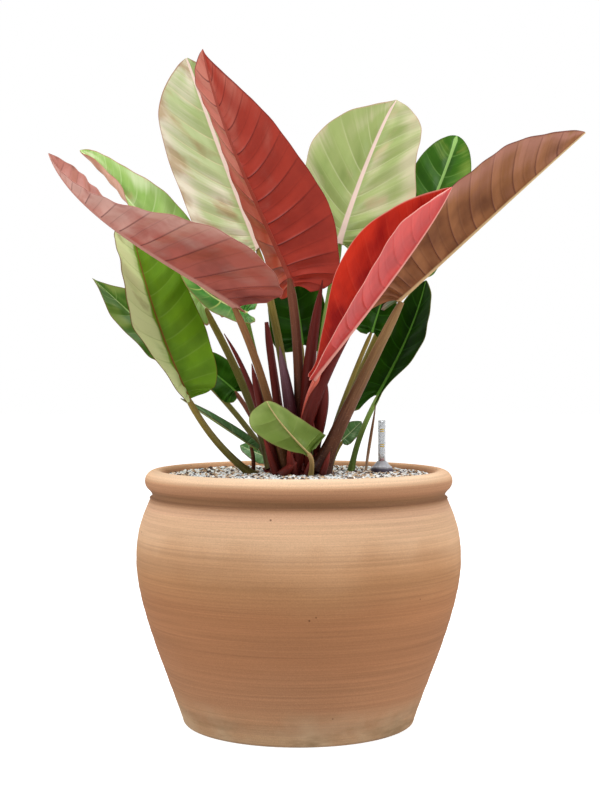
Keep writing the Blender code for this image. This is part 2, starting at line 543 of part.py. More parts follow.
def make_leaf(spec):
    """Blade and stalk of one leaf.  The stalk ends under the midrib, just short of the blade."""
    make_blade(spec)
    centre, tangent, normal = blade_frame(spec, 0.0)
    end = centre - tangent * STALK_SPACE - normal * (0.8 * spec["radius"][1] + BLADE_THICKNESS)
    start = rooted(spec["root"], spec["stalk"][0], spec["radius"][0])
    make_rod("stalk_" + spec["name"], spec["stalk_colour"], (start, *spec["stalk"], end),
             spec["radius"], 7, 2)


def make_crown():
    """The short woody crown, half out of the granulate, that the stalks stand on."""
    low = FILL_HEIGHT + GAP
    shoulder = CROWN_RADIUS - CROWN_SHOULDER
    turned("crown", "crown_bark",
           [(0.0, low), (CROWN_RADIUS, low), (CROWN_RADIUS, low + CROWN_SIDE),
            (shoulder, CROWN_TOP - CROWN_BEVEL[1]), (shoulder - CROWN_BEVEL[0], CROWN_TOP),
            (0.0, CROWN_TOP)], 24, CROWN_CENTRE, CROWN_STRETCH)


def make_sheaths():
    """The pointed sheaths round the stalks."""
    for name, colour, root, inner, radius in SHEATHS:
        start = rooted(root, inner[0], radius)
        make_rod("sheath_" + name, colour, (start, *inner), (radius, SHEATH_TIP), 6, 1)


def main():
    """Build every piece."""
    for old in list(bpy.data.objects):
        bpy.data.objects.remove(old)
    make_pot()
    make_granulate()
    make_gauge()
    make_crown()
    make_sheaths()
    for spec in LEAVES:
        make_leaf(spec)


main()
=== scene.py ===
"""Looks of a potted philodendron: terracotta pot, mineral granulate, water gauge and foliage.

Metres, +Z up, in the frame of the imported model: the origin is the centre of the pot's foot, and the
plant's front looks along -Y.
"""
from dataclasses import dataclass
import math

import bmesh
import bpy
from bpy.props import FloatProperty, FloatVectorProperty, IntProperty, PointerProperty
from mathutils import Matrix, Vector, noise


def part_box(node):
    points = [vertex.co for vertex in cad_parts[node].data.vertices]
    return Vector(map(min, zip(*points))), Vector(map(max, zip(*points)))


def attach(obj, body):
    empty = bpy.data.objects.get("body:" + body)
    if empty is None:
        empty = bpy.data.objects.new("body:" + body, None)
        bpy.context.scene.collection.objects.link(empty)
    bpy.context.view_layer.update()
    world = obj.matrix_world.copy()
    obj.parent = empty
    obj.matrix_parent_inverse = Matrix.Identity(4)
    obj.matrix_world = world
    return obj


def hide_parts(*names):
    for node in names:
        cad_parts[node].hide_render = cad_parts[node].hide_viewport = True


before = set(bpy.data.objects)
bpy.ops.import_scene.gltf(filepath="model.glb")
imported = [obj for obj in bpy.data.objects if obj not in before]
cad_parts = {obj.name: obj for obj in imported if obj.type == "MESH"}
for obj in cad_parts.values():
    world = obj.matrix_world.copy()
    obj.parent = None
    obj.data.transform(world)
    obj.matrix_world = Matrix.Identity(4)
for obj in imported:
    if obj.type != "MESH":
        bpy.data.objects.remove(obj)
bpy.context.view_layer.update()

bl_info = {
    "name": "Potted philodendron",
    "version": (1, 0, 0),
    "blender": (4, 5, 0),
    "location": "3D View > Sidebar > Planter",
    "description": "Builds the surfaces of a potted philodendron and its studio",
    "category": "Add Mesh",
}

# Bodies: everything but the gauge's float rides on the planter.
PLANTER = "planter"
FLOAT = "float"


def srgb(code):
    """Linear red, green, blue and alpha of an sRGB hex colour."""
    parts = [int(code[k:k + 2], 16) / 255.0 for k in (1, 3, 5)]
    return (*(p / 12.92 if p <= 0.04045 else ((p + 0.055) / 1.055) ** 2.4 for p in parts), 1.0)


# ---- the plant's parts
# Leaf outline, as stations along half a blade.  Each station is a side vein: where it leaves the
# midrib, and where it meets the margin, as shares of the midrib's length, and how far out that is,
# in percent of the half width.
VEIN_START = (0.000, 0.015, 0.045, 0.110, 0.210, 0.340, 0.490, 0.640, 0.790, 0.920, 1.000)
VEIN_END = (-0.075, -0.085, -0.030, 0.090, 0.250, 0.430, 0.610, 0.765, 0.890, 0.968, 1.000)
HALF_WIDTH = (26, 60, 86, 98, 100, 96, 85, 65, 38, 12, 0)
CURL = math.radians(-8)       # how far half a blade turns on towards its margin
FULL_RELIEF = 0.05            # half width from which a blade has its full relief
MARGIN = 0.0011               # width of the thin rim of a blade
STRAY = 0.0012                # how far a margin strays from its even waves
GROOVE = 0.35                 # depth of the groove over a side vein, as a share of its height
RIDGE = {0: 1.0, 1: 0.55}     # height of the midrib in the columns next to its middle


def mm(value):
    """Millimetres to metres, in a number or in tuples of them."""
    return tuple(mm(part) for part in value) if isinstance(value, tuple) else value / 1000


def both(value):
    """A pair, for the left and the right half, from a pair or from one value for both."""
    return value if isinstance(value, tuple) else (value, value)


@dataclass
class Leaf:
    """One leaf, in millimetres.  Left and right are as seen from the upper side, and a single value
    is for both."""
    name: str
    upper: str                  # finishes of the upper side, the petiole and the underside
    petiole: str
    rib: tuple                  # four Bezier points of the midrib
    face: tuple                 # the way that the upper side looks
    width: tuple                # half widths, left and right
    fold: tuple                 # degrees that each half rises, or some from its base to its tip
    root: tuple                 # where the stalk stands
    stalk: tuple                # its two inner Bezier points
    radius: tuple               # its radius at the root and at the blade
    under: str = "pale underside"
    tip_face: tuple = None      # the way that the upper side looks at the tip, if it is another
    point: float = 1.0          # above 1 the blade is narrower towards its tip, below 1 broader
    lobe: tuple = 1.0           # length of the basal lobes
    half: tuple = (HALF_WIDTH, HALF_WIDTH)      # outline of each half, in percent of its width
    wave: tuple = (2, 3.0, 0.0)                 # height, number and phase of the margin's waves
    # how much of the second colour there is: in all, in the left and the right half, at the margin,
    # towards the tip, and in streaks
    wash: tuple = (0.0, 0.0, 0.0, 0.0, 0.0, 0.5)
    # places where the margin turns over: side, station, reach, share and degrees
    rolls: tuple = ()
    ribbing: float = 1.0        # width of the midrib, as a share of the usual
    # for each half, powers of where the side veins start and of their sweep: above 1 they lean, or
    # bend, towards the tip
    lean: tuple = ((1.0, 1.6), (1.0, 1.6))
    quilt: float = 1.0          # how far the blade swells between its veins, as a share of the usual

    def __post_init__(self):
        self.rib, self.root, self.stalk, self.radius, self.width = mm(
            (self.rib, self.root, self.stalk, self.radius, both(self.width)))
        self.tip_face = self.tip_face or self.face
        self.fold = [both(angle) for angle in both(self.fold)]
        self.lobe = both(self.lobe)
        self.half = [[share / 100 for share in half] for half in self.half]
        self.wave = (mm(self.wave[0]), *self.wave[1:])


LEAVES = (
    Leaf("tall_red", "rose upper", "brown petiole", under="red underside",
         rib=((-5, -38, 505), (-35, -55, 575), (-88, -88, 675), (-105, -98, 762)), face=(0.60, 0.80, 0.10),
         width=(75, 60), fold=(28, (14, 30, 37, 30, 2)),
         half=((20, 45, 68, 88, 98, 92, 76, 49, 22, 4, 0), (30, 55, 78, 90, 86, 78, 74, 66, 56, 22, 0)),
         root=(-1, 6), stalk=((3, -4, 375), (0, -24, 456)), radius=(6.4, 5), lobe=(0.6, 0.5), ribbing=0.6,
         wash=(-0.28, 0.0, 0.30, 0.0, 0.55, 0.2)),
    Leaf("back_left_cream", "cream upper", "olive petiole",
         rib=((-48, 60, 558), (-69, 72, 604), (-110, 105, 713), (-140, 122, 799)),
         face=(-0.10, -0.95, 0.25), width=(72, 66), fold=12,
         half=((25, 55, 80, 90, 90, 91, 90, 83, 55, 24, 3), (25, 60, 85, 95, 95, 90, 80, 62, 42, 14, 2)),
         lean=((1.5, 1.2), (1.5, 1.2)), root=(-8, 22), stalk=((-12, 30, 392), (-22, 38, 450)),
         radius=(5.2, 4.2), ribbing=1.6, wash=(-0.42, 0.54, -0.25, 0.55, 0.10, 0.8)),
    Leaf("left_rose", "rose upper", "tan petiole", under="rose underside",
         rib=((-69, -75, 480), (-122, -105, 519), (-244, -125, 572), (-272, -112, 646)),
         face=(0.57, 0.42, 0.70), tip_face=(0.63, -0.10, 0.77), width=(72, 66), fold=25,
         half=((45, 78, 95, 122, 136, 120, 74, 34, 12, 4, 0), (30, 60, 80, 90, 90, 90, 90, 80, 62, 25, 0)),
         root=(-16, -10), stalk=((-31, -25, 369), (-48, -50, 427)), radius=(5.4, 4.2), lobe=(0.8, 1.0),
         ribbing=1.3, lean=((0.62, 0.8), (1.0, 1.6)), quilt=1.3, wash=(-0.38, 0.0, 0.0, 0.20, 1.25, 0.4)),
    Leaf("left_light_green", "light green upper", "olive petiole", under="rosy underside",
         rib=((-112, 45, 484), (-150, 62, 549), (-213, 90, 631), (-272, 112, 683)),
         face=(0.10, -0.75, 0.60), tip_face=(0.20, -0.60, 0.75), width=(30, 44), fold=(30, 18),
         half=((25, 50, 80, 95, 100, 95, 85, 74, 52, 26, 0),
               (26, 60, 85, 100, 105, 106, 95, 66, 46, 24, 2)), rolls=((0, 0.72, 0.13, 0.30, 170),),
         root=(-32, 12), stalk=((-55, 24, 378), (-88, 35, 440)), radius=(5, 3.8),
         wash=(-0.25, 0.0, 0.1, 0.2, 0.1, 1.1)),
    # the pale second colour on the left half is partly a painted sheen
    Leaf("left_big_green", "green upper", "olive petiole",
         rib=((-126, -25, 376), (-153, -30, 433), (-181, -15, 512), (-196, 5, 579)),
         face=(0.57, -0.82, 0.20), width=(55, 50), fold=((54, 54, 28, 22, 20), 25),
         half=((20, 40, 60, 75, 85, 90, 72, 66, 64, 45, 10), (35, 48, 60, 86, 95, 100, 93, 82, 60, 30, 0)),
         root=(-52, 2), stalk=((-74, -4, 302), (-106, -15, 330)), radius=(4.6, 3.6), lobe=0.1,
         ribbing=0.65, wash=(-0.35, 0.85, -0.1, 0.25, 0.15, 0.2)),
    Leaf("far_left_dark", "mid green upper", "olive petiole",
         rib=((-158, 85, 434), (-185, 88, 459), (-223, 96, 494), (-256, 105, 524)),
         face=(0.30, -0.75, 0.60), width=34, fold=15, root=(-30, 34),
         stalk=((-65, 60, 349), (-115, 75, 404)), radius=(3.8, 2.8), point=1.7,
         wash=(-0.25, 0.0, 0.1, 0.4, 0.4, 0.9)),
    Leaf("left_inner_green", "inner green upper", "green petiole",
         rib=((-60, 8, 477), (-90, 3, 486), (-120, -4, 503), (-142, -10, 540)), face=(0.10, -0.60, 0.80),
         tip_face=(0.40, -0.60, 0.60), width=34, fold=15, root=(-21, 14),
         stalk=((-37, 8, 375), (-56, 6, 440)), radius=(4, 3), wave=(0.8, 2.0, 0.0),
         wash=(0.1, 0.0, 0.0, 0.4, 0.0, 0.6)),
    Leaf("back_right_pale", "pale upper", "green petiole",
         rib=((50, 105, 567), (61, 120, 606), (97, 148, 708), (124, 158, 754)), face=(-0.10, -0.95, 0.30),
         width=(71, 70), fold=14,
         half=((26, 55, 80, 90, 95, 100, 102, 73, 32, 8, 0),
               (30, 60, 90, 100, 110, 109, 88, 82, 62, 32, 2)), lean=((1.5, 1.2), (1.5, 1.2)),
         root=(12, 30), stalk=((20, 55, 392), (33, 85, 483)), radius=(5.2, 4.2), ribbing=1.6,
         wash=(-0.25, 0.05, 0.15, 0.50, 0.25, 0.6)),
    Leaf("far_right_green", "deep green upper", "olive petiole",
         rib=((136, 118, 545), (152, 130, 583), (184, 150, 651), (202, 163, 709)),
         face=(0.00, -0.95, 0.30), width=(46, 42), fold=14, root=(26, 36),
         stalk=((46, 64, 349), (100, 108, 450)), radius=(5, 3.8), point=0.6,
         wash=(-0.3, 0.0, 0.0, 0.3, 0.35, 0.6)),
    Leaf("right_bronze", "bronze upper", "bronze petiole", under="bronze underside",
         rib=((114, -36, 488), (160, -48, 529), (240, -62, 604), (321, -66, 676)),
         face=(-0.58, 0.50, 0.63), width=66, fold=(42, 30),
         half=((25, 50, 70, 85, 90, 90, 85, 70, 45, 18, 0),
               (30, 65, 90, 100, 100, 100, 92, 83, 50, 20, 2)), root=(25, -16),
         stalk=((42, -24, 338), (84, -26, 420)), radius=(10, 5), lobe=(1.0, 1.8),
         wash=(-0.52, 0.0, 0.0, 0.9, 0.75, 0.5)),
    # the pale second colour at the margin and in streaks is partly a painted highlight
    Leaf("new_scarlet", "scarlet upper", "coral petiole", under="coral underside",
         rib=((17, -56, 400), (50, -86, 443), (139, -129, 551), (163, -146, 605)),
         face=(-0.66, -0.52, 0.55), width=(52, 48), fold=59,
         half=((8, 12, 15, 20, 56, 102, 112, 86, 46, 15, 0), (8, 12, 15, 22, 56, 94, 120, 138, 68, 20, 0)),
         root=(2, -12), stalk=((2, -16, 350), (8, -36, 380)), radius=(3.6, 4), lobe=0.1,
         wave=(0.6, 3.0, 0.0), quilt=0.4, wash=(-0.95, 0.0, 0.0, 0.60, 0.65, 0.35)),
    Leaf("right_low_dark", "dark upper", "green petiole",
         rib=((96, 60, 379), (114, 68, 412), (144, 78, 464), (156, 86, 520)), face=(-0.54, -0.84, 0.10),
         width=(42, 32), fold=(20, 32),
         half=((30, 42, 48, 52, 56, 60, 60, 50, 35, 15, 0), (8, 12, 15, 30, 62, 100, 115, 90, 60, 25, 0)),
         root=(62, 40), stalk=((68, 44, 320), (78, 52, 345)), radius=(3.6, 2.8), lobe=(2.2, 1.0),
         wash=(-0.1, 0.0, 0.0, 0.2, -0.3, 0.4)),
    Leaf("front_small_olive", "olive upper", "fawn petiole", under="olive underside",
         rib=((11, -60, 315), (-3, -70, 330), (-26, -78, 354), (-36, -79, 375)), face=(-0.10, 0.95, -0.30),
         width=(30, 32), fold=(6, 8),
         half=((35, 102, 102, 95, 84, 74, 61, 47, 30, 14, 0), (5, 7, 10, 16, 42, 62, 84, 94, 84, 58, 10)),
         root=(13, -40), stalk=((16, -46, 302), (16, -62, 308)), radius=(3, 2.4), lobe=(0.6, 0.3),
         ribbing=0.65, wave=(1, 2.0, 0.0), wash=(-0.50, 0.0, 0.0, 0.3, 0.95, 0.2)),
    Leaf("left_low_dark", "dark upper", "brown petiole",
         rib=((-75, 48, 383), (-89, 50, 397), (-113, 55, 415), (-141, 62, 434)), face=(0.20, -0.80, 0.55),
         width=26, fold=15, root=(-32, 24), stalk=((-45, 36, 330), (-56, 42, 361)), radius=(3.4, 2.6),
         wash=(0.1, 0.0, 0.0, 0.2, 0.2, 0.4)),
    Leaf("centre_back_dark", "dark upper", "olive petiole",
         rib=((4, 85, 441), (2, 92, 466), (-4, 108, 510), (-14, 125, 554)), face=(0.10, -0.95, 0.30),
         width=(40, 36), fold=14, root=(2, 40), stalk=((4, 52, 345), (5, 70, 395)), radius=(3.8, 2.8),
         wash=(-0.1, 0.0, 0.0, 0.3, 0.0, 0.6)),
    Leaf("right_inner_dark", "dark upper", "olive petiole",
         rib=((88, 40, 455), (92, 46, 470), (100, 54, 492), (108, 62, 515)), face=(0.10, -0.95, 0.30),
         width=24, fold=14, root=(28, 18), stalk=((45, 22, 357), (65, 32, 405)), radius=(3.2, 2.4),
         wash=(0.0, 0.0, 0.0, 0.3, 0.0, 0.5)),
    Leaf("right_small_grey", "grey green upper", "olive petiole",
         rib=((53, 75, 324), (61, 78, 331), (70, 80, 340), (77, 82, 347)), face=(-0.20, -0.80, 0.55),
         width=13, fold=14, root=(38, 60), stalk=((41, 65, 300), (45, 70, 312)), radius=(2.4, 1.8),
         wave=(0.6, 2.0, 0.0)),
    Leaf("left_narrow_folded", "grey green upper", "brown petiole",
         rib=((-55, 6, 320), (-71, 4, 332), (-100, 2, 350), (-138, 0, 377)), face=(0.30, -0.60, 0.75),
         width=9, fold=50, root=(-54, 20), stalk=((-53, 14, 300), (-53, 10, 311)), radius=(2.8, 2),
         wave=(0.6, 2.0, 0.0)),
    Leaf("left_low_grey", "grey green upper", "brown petiole",
         rib=((-37, 60, 303), (-48, 64, 308), (-60, 68, 313), (-72, 72, 318)), face=(0.10, -0.80, 0.60),
         width=14, fold=14, root=(-29, 56), stalk=((-31, 57, 294), (-34, 59, 299)), radius=(2.4, 1.8),
         wave=(0.6, 2.0, 0.0)),
)

# Pointed sheaths: finish, root, two inner Bezier points and tip, and radii from the root to the tip,
# in millimetres.
SHEATHS = (
    ("tall", "dark red sheath", (8, 1),
     ((3, -16, 387), (19, -38, 467), (27, -56, 511)),
     (8.8, 7.8, 7.4, 6.6, 4.6, 0.6)),
    ("right", "dark red sheath", (-3, -26),
     ((7, -42, 372), (45, -54, 440), (76, -62, 485)),
     (6.2, 7.6, 7.8, 6.8, 4.8, 0.6)),
    ("purple", "purple sheath", (-6, -9),
     ((-6, -14, 365), (-18, -18, 405), (-22, -20, 437)),
     (5.6, 7.4, 7.6, 6.4, 4.2, 0.6)),
    ("brown", "dark red sheath", (-15, 6),
     ((-25, 6, 375), (-34, 5, 433), (-38, 5, 466)),
     (8, 6.4, 5.6, 5, 4.4, 2.4)),
    ("left_thin", "dark red sheath", (-26, -4),
     ((-51, -4, 386), (-68, -5, 421), (-87, -5, 452)),
     (5.6, 4.4, 3.6, 3, 2.2, 0.6)),
    ("left", "dark red sheath", (-26, -14),
     ((-42, -20, 358), (-50, -25, 392), (-54, -28, 417)),
     (6.2, 5.8, 5.4, 4.6, 3.2, 0.6)),
    ("front", "dark red sheath", (19, -2),
     ((22, -22, 350), (31, -32, 380), (27, -38, 410)),
     (3, 5, 7.4, 7.8, 5.4, 0.6)),
    ("dry", "dry sheath", (80, 45),
     ((84, 45, 319), (89, 42, 344), (92, 38, 368)),
     (1.4, 1.8, 2, 1.8, 1.2, 0.5)),
)

# Stubs of old petioles on the crown: foot, tip and radius, in millimetres.
STUBS = (
    ((-21, -34, 288), (3, -30, 309), 7.2),
    ((-25, -20, 288), (-41, -20, 334), 6.6),
    ((17, -34, 336), (13, -36, 365), 3),
    ((27, -34, 289), (36, -34, 316), 5.2),
    ((-6, -30, 288), (-12, -36, 322), 6),
    ((10, -36, 288), (16, -38, 312), 5.6),
)


# ---- settings
def metres(name, description, default, **more):
    """A setting in metres, or several of them when size says so."""
    kind = FloatVectorProperty if "size" in more else FloatProperty
    return kind(name=name, description=description, default=default, unit="LENGTH", **more)


class PotSettings(bpy.types.PropertyGroup):
    """Sizes of the terracotta pot."""
    foot_round: metres("Foot rounding", "Rounding of the foot's edge", 0.0045)
    foot_radius: metres("Foot radius", "Radius of the flat under the pot", 0.1310)
    belly: metres("Belly", "Radius and height of the widest place", (0.1893, 0.1900), size=2)
    neck: metres("Neck", "Radius and height of the groove under the rim", (0.1722, 0.2625), size=2)
    rim_centre: metres("Rim centre", "Radius and height of the rim's middle", (0.1667, 0.2815), size=2)
    rim_tube: metres("Rim thickness", "Radius of the rolled rim", 0.0125)
    wall: metres("Wall", "Thickness of the wall", 0.012)
    floor: metres("Floor", "Thickness of the floor", 0.014)
    throwing: metres("Throwing rings", "Height of the rings left by throwing", 0.00035)
    sides: IntProperty(name="Sides", description="Sides of the turned pot", default=192)


class BladeSettings(bpy.types.PropertyGroup):
    """Sizes that all leaf blades share."""
    thickness: metres("Thickness", "Thickness of the blade", 0.0009)
    vein_spacing: metres("Vein spacing", "From one main side vein to the next", 0.027)
    vein_height: metres("Vein height", "How far a side vein stands out below", 0.0013)
    rib_height: metres("Midrib height", "How far the midrib stands out below", 0.0036)
    rib_width: metres("Midrib width", "Half width of the midrib at its base", 0.0027)
    quilting: metres("Quilting", "How far the blade swells between its veins", 0.0042)


class GrainSettings(bpy.types.PropertyGroup):
    """The loose mineral grains."""
    spacing: metres("Spacing", "From one grain to the next", 0.0036)
    size: metres("Grain size", "Mean radius of a grain", 0.0022)
    seed: IntProperty(name="Seed", description="Start of the grains' random order", default=7)


class StageSettings(bpy.types.PropertyGroup):
    """Camera, lamps and floor."""
    camera: FloatVectorProperty(name="Camera", description="Where the camera stands",
        default=(0.0015, -1.708, 0.4086), size=3, subtype="TRANSLATION")
    tilt: FloatProperty(name="Tilt", description="Degrees that the camera looks down", default=1.138)
    lens: FloatProperty(name="Focal length", description="Focal length in millimetres", default=65.7)
    floor_colour: FloatVectorProperty(name="Floor colour", description="Colour of the floor",
        default=srgb("#E6E6E6"), size=4, subtype="COLOR")
    world: FloatProperty(name="Ambient", description="Strength of the light from all round", default=0.50)


# ---- node helpers
def add(tree, kind, inputs=(), stops=(), **settings):
    """Add one shader node.  inputs are its sockets' values, by name or number, or in the order of
    the sockets in use, with None for one that stays: a number, a hex colour, a socket, or a node,
    which stands for its first output in use.  settings are the node's properties, and stops a
    colour ramp's places and colours."""
    made = tree.nodes.new("ShaderNode" + kind)
    for key, value in settings.items():
        setattr(made, key, value)
    if isinstance(inputs, dict):
        pairs = [(made.inputs[key], value) for key, value in inputs.items()]
    else:
        pairs = zip([socket for socket in made.inputs if socket.enabled], inputs)
    for socket, value in pairs:
        if isinstance(value, bpy.types.Node):
            value = next(out for out in value.outputs if out.enabled)
        if isinstance(value, bpy.types.NodeSocket):
            tree.links.new(value, socket)
        elif value is not None:
            socket.default_value = srgb(value) if isinstance(value, str) else value
    for number, (place, colour) in enumerate(stops):
        elements = made.color_ramp.elements
        element = elements[number] if number < len(elements) else elements.new(1.0)
        element.position = place
        element.color = srgb(colour)
    return made


def new_material(name):
    """An empty material and its node tree, or None for the tree if it is already there."""
    found = bpy.data.materials.get(name)
    if found:
        return found, None
    made = bpy.data.materials.new(name)
    made.use_nodes = True
    made.node_tree.nodes.clear()
    return made, made.node_tree


def drawn_out(tree, place, scale, detail, **more):
    """A cloudy pattern drawn out along the axes: scale is how many clouds there are to a metre."""
    run = add(tree, "Mapping", {"Vector": place, "Scale": scale})
    return add(tree, "TexNoise", {"Vector": run, "Scale": 1.0, "Detail": detail, **more})


def stain(tree, base, colour, where, low, high, most=1.0, **settings):
    """Base with a colour over it: none of it where the pattern is at low, most where it is at high."""
    share = add(tree, "MapRange", (where, low, high, None, most), **settings)
    return add(tree, "Mix", (share, base, colour), data_type="RGBA")


def shade(tree, base, pattern, low, high, dark, light):
    """Base times a factor: dark where the pattern is at low, light where it is at high."""
    factor = add(tree, "MapRange", (pattern, low, high, dark, light))
    return add(tree, "Mix", (1.0, base, factor), data_type="RGBA", blend_type="MULTIPLY")


def finish_surface(tree, colour, roughness, specular, relief, **more):
    """Close a tree with a Principled shader and the output."""
    sockets = {"Base Color": colour, "Roughness": roughness, "Specular IOR Level": specular,
               "Normal": relief}
    shader = add(tree, "BsdfPrincipled", {**sockets, **more})
    add(tree, "OutputMaterial", (shader,))


# ---- finishes
# Living leaf: a waxy skin over green, red or cream tissue.  Colours: the body and its darker
# mottling, the second colour that washes over it, rare patches, veins, midrib and margin.
# Numbers: share of rare patches, strength of the vein colour, roughness, and how much the second
# colour comes in streaks instead of clouds.
LAMINA = {
    "red underside": ("#B03A29", "#9A2E20", "#D07E6C", "#B8442F", "#5E120C", "#A64A3A", "#6E1210",
        0.15, 0.90, 0.46, 0.25),
    "rose underside": ("#B25A4C", "#7C3228", "#D4A092", "#A85446", "#5E221E", "#C4887A", "#9A4A42",
        0.18, 0.90, 0.42, 0.25),
    "rose upper": ("#9A5344", "#74392F", "#B87466", "#74402F", "#5E2A24", "#B07B64", "#B98074",
        0.18, 0.60, 0.42, 0.50),
    "bronze underside": ("#98623A", "#66381C", "#B27A66", "#9E7040", "#5A2C22", "#DDBE8C", "#6E2E24",
        0.20, 0.85, 0.50, 0.45),
    # coral underside: the pale second colour and the pale margin are partly painted highlights, satin
    # streaks along the roll
    "coral underside": ("#E04842", "#C03634", "#F4B0A6", "#EE7468", "#BC3C38", "#F0A698", "#F8C0B4",
        0.12, 0.35, 0.34, 0.50),
    "rosy underside": ("#CC9C84", "#B07A62", "#E2C0AC", "#C08070", "#9A6A50", "#D6B08E", "#B86A5C",
        0.20, 0.60, 0.45, 0.50),
    "pale underside": ("#84A846", "#6E9436", "#C2D288", "#A8A05C", "#C6D29A", "#BBAE72", "#A47060",
        0.12, 0.35, 0.40, 0.30),
    "olive underside": ("#6E8634", "#4E661A", "#94A85C", "#8A8A3A", "#82944C", "#C0AC74", "#7C7040",
        0.08, 0.40, 0.50, 0.20),
    "cream upper": ("#B4C08A", "#94A662", "#DFD6BE", "#A5855A", "#DCCBA0", "#F1D6C8", "#A06A52",
        0.36, 0.60, 0.40, 0.90),
    "pale upper": ("#A2B26C", "#869A52", "#D2CCA6", "#CDB490", "#D8DAAE", "#F3D8CC", "#C2A084",
        0.26, 0.50, 0.40, 0.70),
    "light green upper": ("#A0C06A", "#80A84A", "#CCDCA8", "#D2A47C", "#CFE0A8", "#D6E8AC", "#B0664E",
        0.26, 0.60, 0.36, 0.80),
    # green upper: its pale second colour is partly a painted sheen, on the left half of left_big_green,
    # and its brown midrib is partly painted shade in the midrib's groove
    "green upper": ("#6E981E", "#598016", "#D8E4A6", "#7A6A2C", "#8CAA4C", "#8A5F2C", "#6E4620",
        0.06, 0.40, 0.36, 0.30),
    "inner green upper": ("#3C8A2A", "#287016", "#80BA54", "#5E9A40", "#D3E37E", "#D8E492", "#A98A58",
        0.10, 0.90, 0.36, 0.80),
    "deep green upper": ("#3A6A12", "#26500A", "#88A044", "#948E42", "#7CA850", "#A2CC74", "#4E6A28",
        0.14, 0.50, 0.36, 0.70),
    "mid green upper": ("#4C7422", "#365C14", "#7E9444", "#8A8448", "#86A858", "#9CB872", "#7E6A3C",
        0.12, 0.55, 0.34, 0.60),
    "dark upper": ("#1B3E00", "#0C2600", "#3A6818", "#56641E", "#2C5C16", "#5A8A34", "#6E703A",
        0.06, 0.60, 0.36, 0.50),
    "olive upper": ("#6E8C34", "#587422", "#8EA850", "#8A8A3A", "#8CA04C", "#B7A566", "#8A6A3A",
        0.06, 0.55, 0.42, 0.40),
    "grey green upper": ("#567E46", "#407034", "#A0BC8C", "#7E8A50", "#ACC494", "#BED098", "#6E4A3A",
        0.08, 0.60, 0.38, 0.60),
    "bronze upper": ("#465A1C", "#344410", "#7A4A26", "#6A4A20", "#7A743A", "#B07058", "#5E241C",
        0.22, 0.60, 0.34, 0.50),
    "scarlet upper": ("#D6341C", "#9A1009", "#E2523A", "#CF3A22", "#DC5038", "#D2402C", "#F09A8C",
        0.20, 0.30, 0.28, 0.40),
}

# How much the waxiest and the dullest blades shine; the others lie between them.
GLOSS = {"dark upper": 0.06, "green upper": 0.16, "mid green upper": 0.16, "deep green upper": 0.16,
         "coral underside": 0.45, "scarlet upper": 0.16}

# Petioles and sheaths: smooth living skin.  Colours at the blade or tip, halfway and at the root,
# of the flecks, and the roughness.
SKIN = {
    "brown petiole": ("#7C4A36", "#5E3426", "#44160F", "#A88068", 0.44),
    "tan petiole": ("#946640", "#76502E", "#50301E", "#B89870", 0.44),
    "bronze petiole": ("#8E6E46", "#6E4632", "#2E120E", "#B08A6C", 0.42),
    "olive petiole": ("#8C7838", "#66602A", "#48401E", "#A8A060", 0.42),
    "green petiole": ("#7A9640", "#5E762E", "#526426", "#A9B070", 0.40),
    "coral petiole": ("#E0705F", "#A8463A", "#4E1813", "#E89A8C", 0.36),
    "fawn petiole": ("#B79A66", "#A08654", "#7E7440", "#D0B888", 0.44),
    "dark red sheath": ("#641F1A", "#5A1812", "#40100B", "#84382E", 0.44),
    "purple sheath": ("#7A5862", "#5A2E36", "#40140F", "#92747E", 0.46),
    "dry sheath": ("#7A5238", "#A67C5C", "#CCAC90", "#E0C8AC", 0.70),
    "crown scale": ("#7E2A20", "#5E1A12", "#3A100A", "#96503E", 0.48),
}


def lamina(name):
    """Living leaf skin: soft mottling, streaks along the side veins, pale or dark veins and a
    midrib of its own colour.  The wax gives a satin gloss and the fine veins a slight grain."""
    body, dark, second, patch, vein, rib, edge, rare, veining, roughness, streaky = LAMINA[name]
    made, tree = new_material("philodendron leaf, " + name)
    if tree is None:
        return made
    place = add(tree, "UVMap", uv_map="blade")
    wash, veins, midrib, margin = (add(tree, "Attribute", attribute_name=key).outputs["Fac"]
                                   for key in ("wash", "vein", "rib", "edge"))
    # clouds about 30 mm across, streaks about 40 mm long and 2 mm wide along the side veins, bands
    # about 12 mm wide, and blotches about 20 by 35 mm
    clouds = add(tree, "TexNoise", {"Vector": place, "Scale": 32.0, "Detail": 3.0})
    streaks = drawn_out(tree, place, (25.0, 480.0, 1.0), 3.0)
    bands = drawn_out(tree, place, (14.0, 85.0, 1.0), 2.0)
    blotches = drawn_out(tree, place, (28.0, 50.0, 1.0), 4.0)
    # the body is deeper where little of the second colour reaches
    depth = add(tree, "Math", (wash, -0.35, clouds), operation="MULTIPLY_ADD")
    tone = stain(tree, body, dark, depth, 0.42, 0.77)
    # the second colour comes in bands, in fine streaks and in clouds
    level = wash
    for pattern, share in ((bands, 0.60 * streaky), (streaks, 0.60 * streaky),
                           (clouds, 1.3 - 1.2 * streaky)):
        level = add(tree, "Math", (pattern, share, level), operation="MULTIPLY_ADD")
    tone = stain(tree, tone, second, level, 0.68, 1.30, interpolation_type="SMOOTHSTEP")
    # patches gather where the second colour is strong
    gather = add(tree, "Math", (wash, 0.17, blotches), operation="MULTIPLY_ADD")
    tone = stain(tree, tone, patch, gather, 0.76 - 0.6 * rare, 0.92 - 0.6 * rare, 0.7)
    line = add(tree, "Math", (veins, veining), operation="MULTIPLY")
    for where, colour in ((line, vein), (midrib, rib), (margin, edge)):
        tone = add(tree, "Mix", (where, tone, colour), data_type="RGBA")
    grain = add(tree, "Bump", {"Height": streaks, "Strength": 0.30, "Distance": 0.0004})
    rough = add(tree, "MapRange", (streaks, None, None, roughness - 0.06, roughness + 0.08))
    finish_surface(tree, tone, rough, GLOSS.get(name, 0.30), grain, IOR=1.45)
    return made


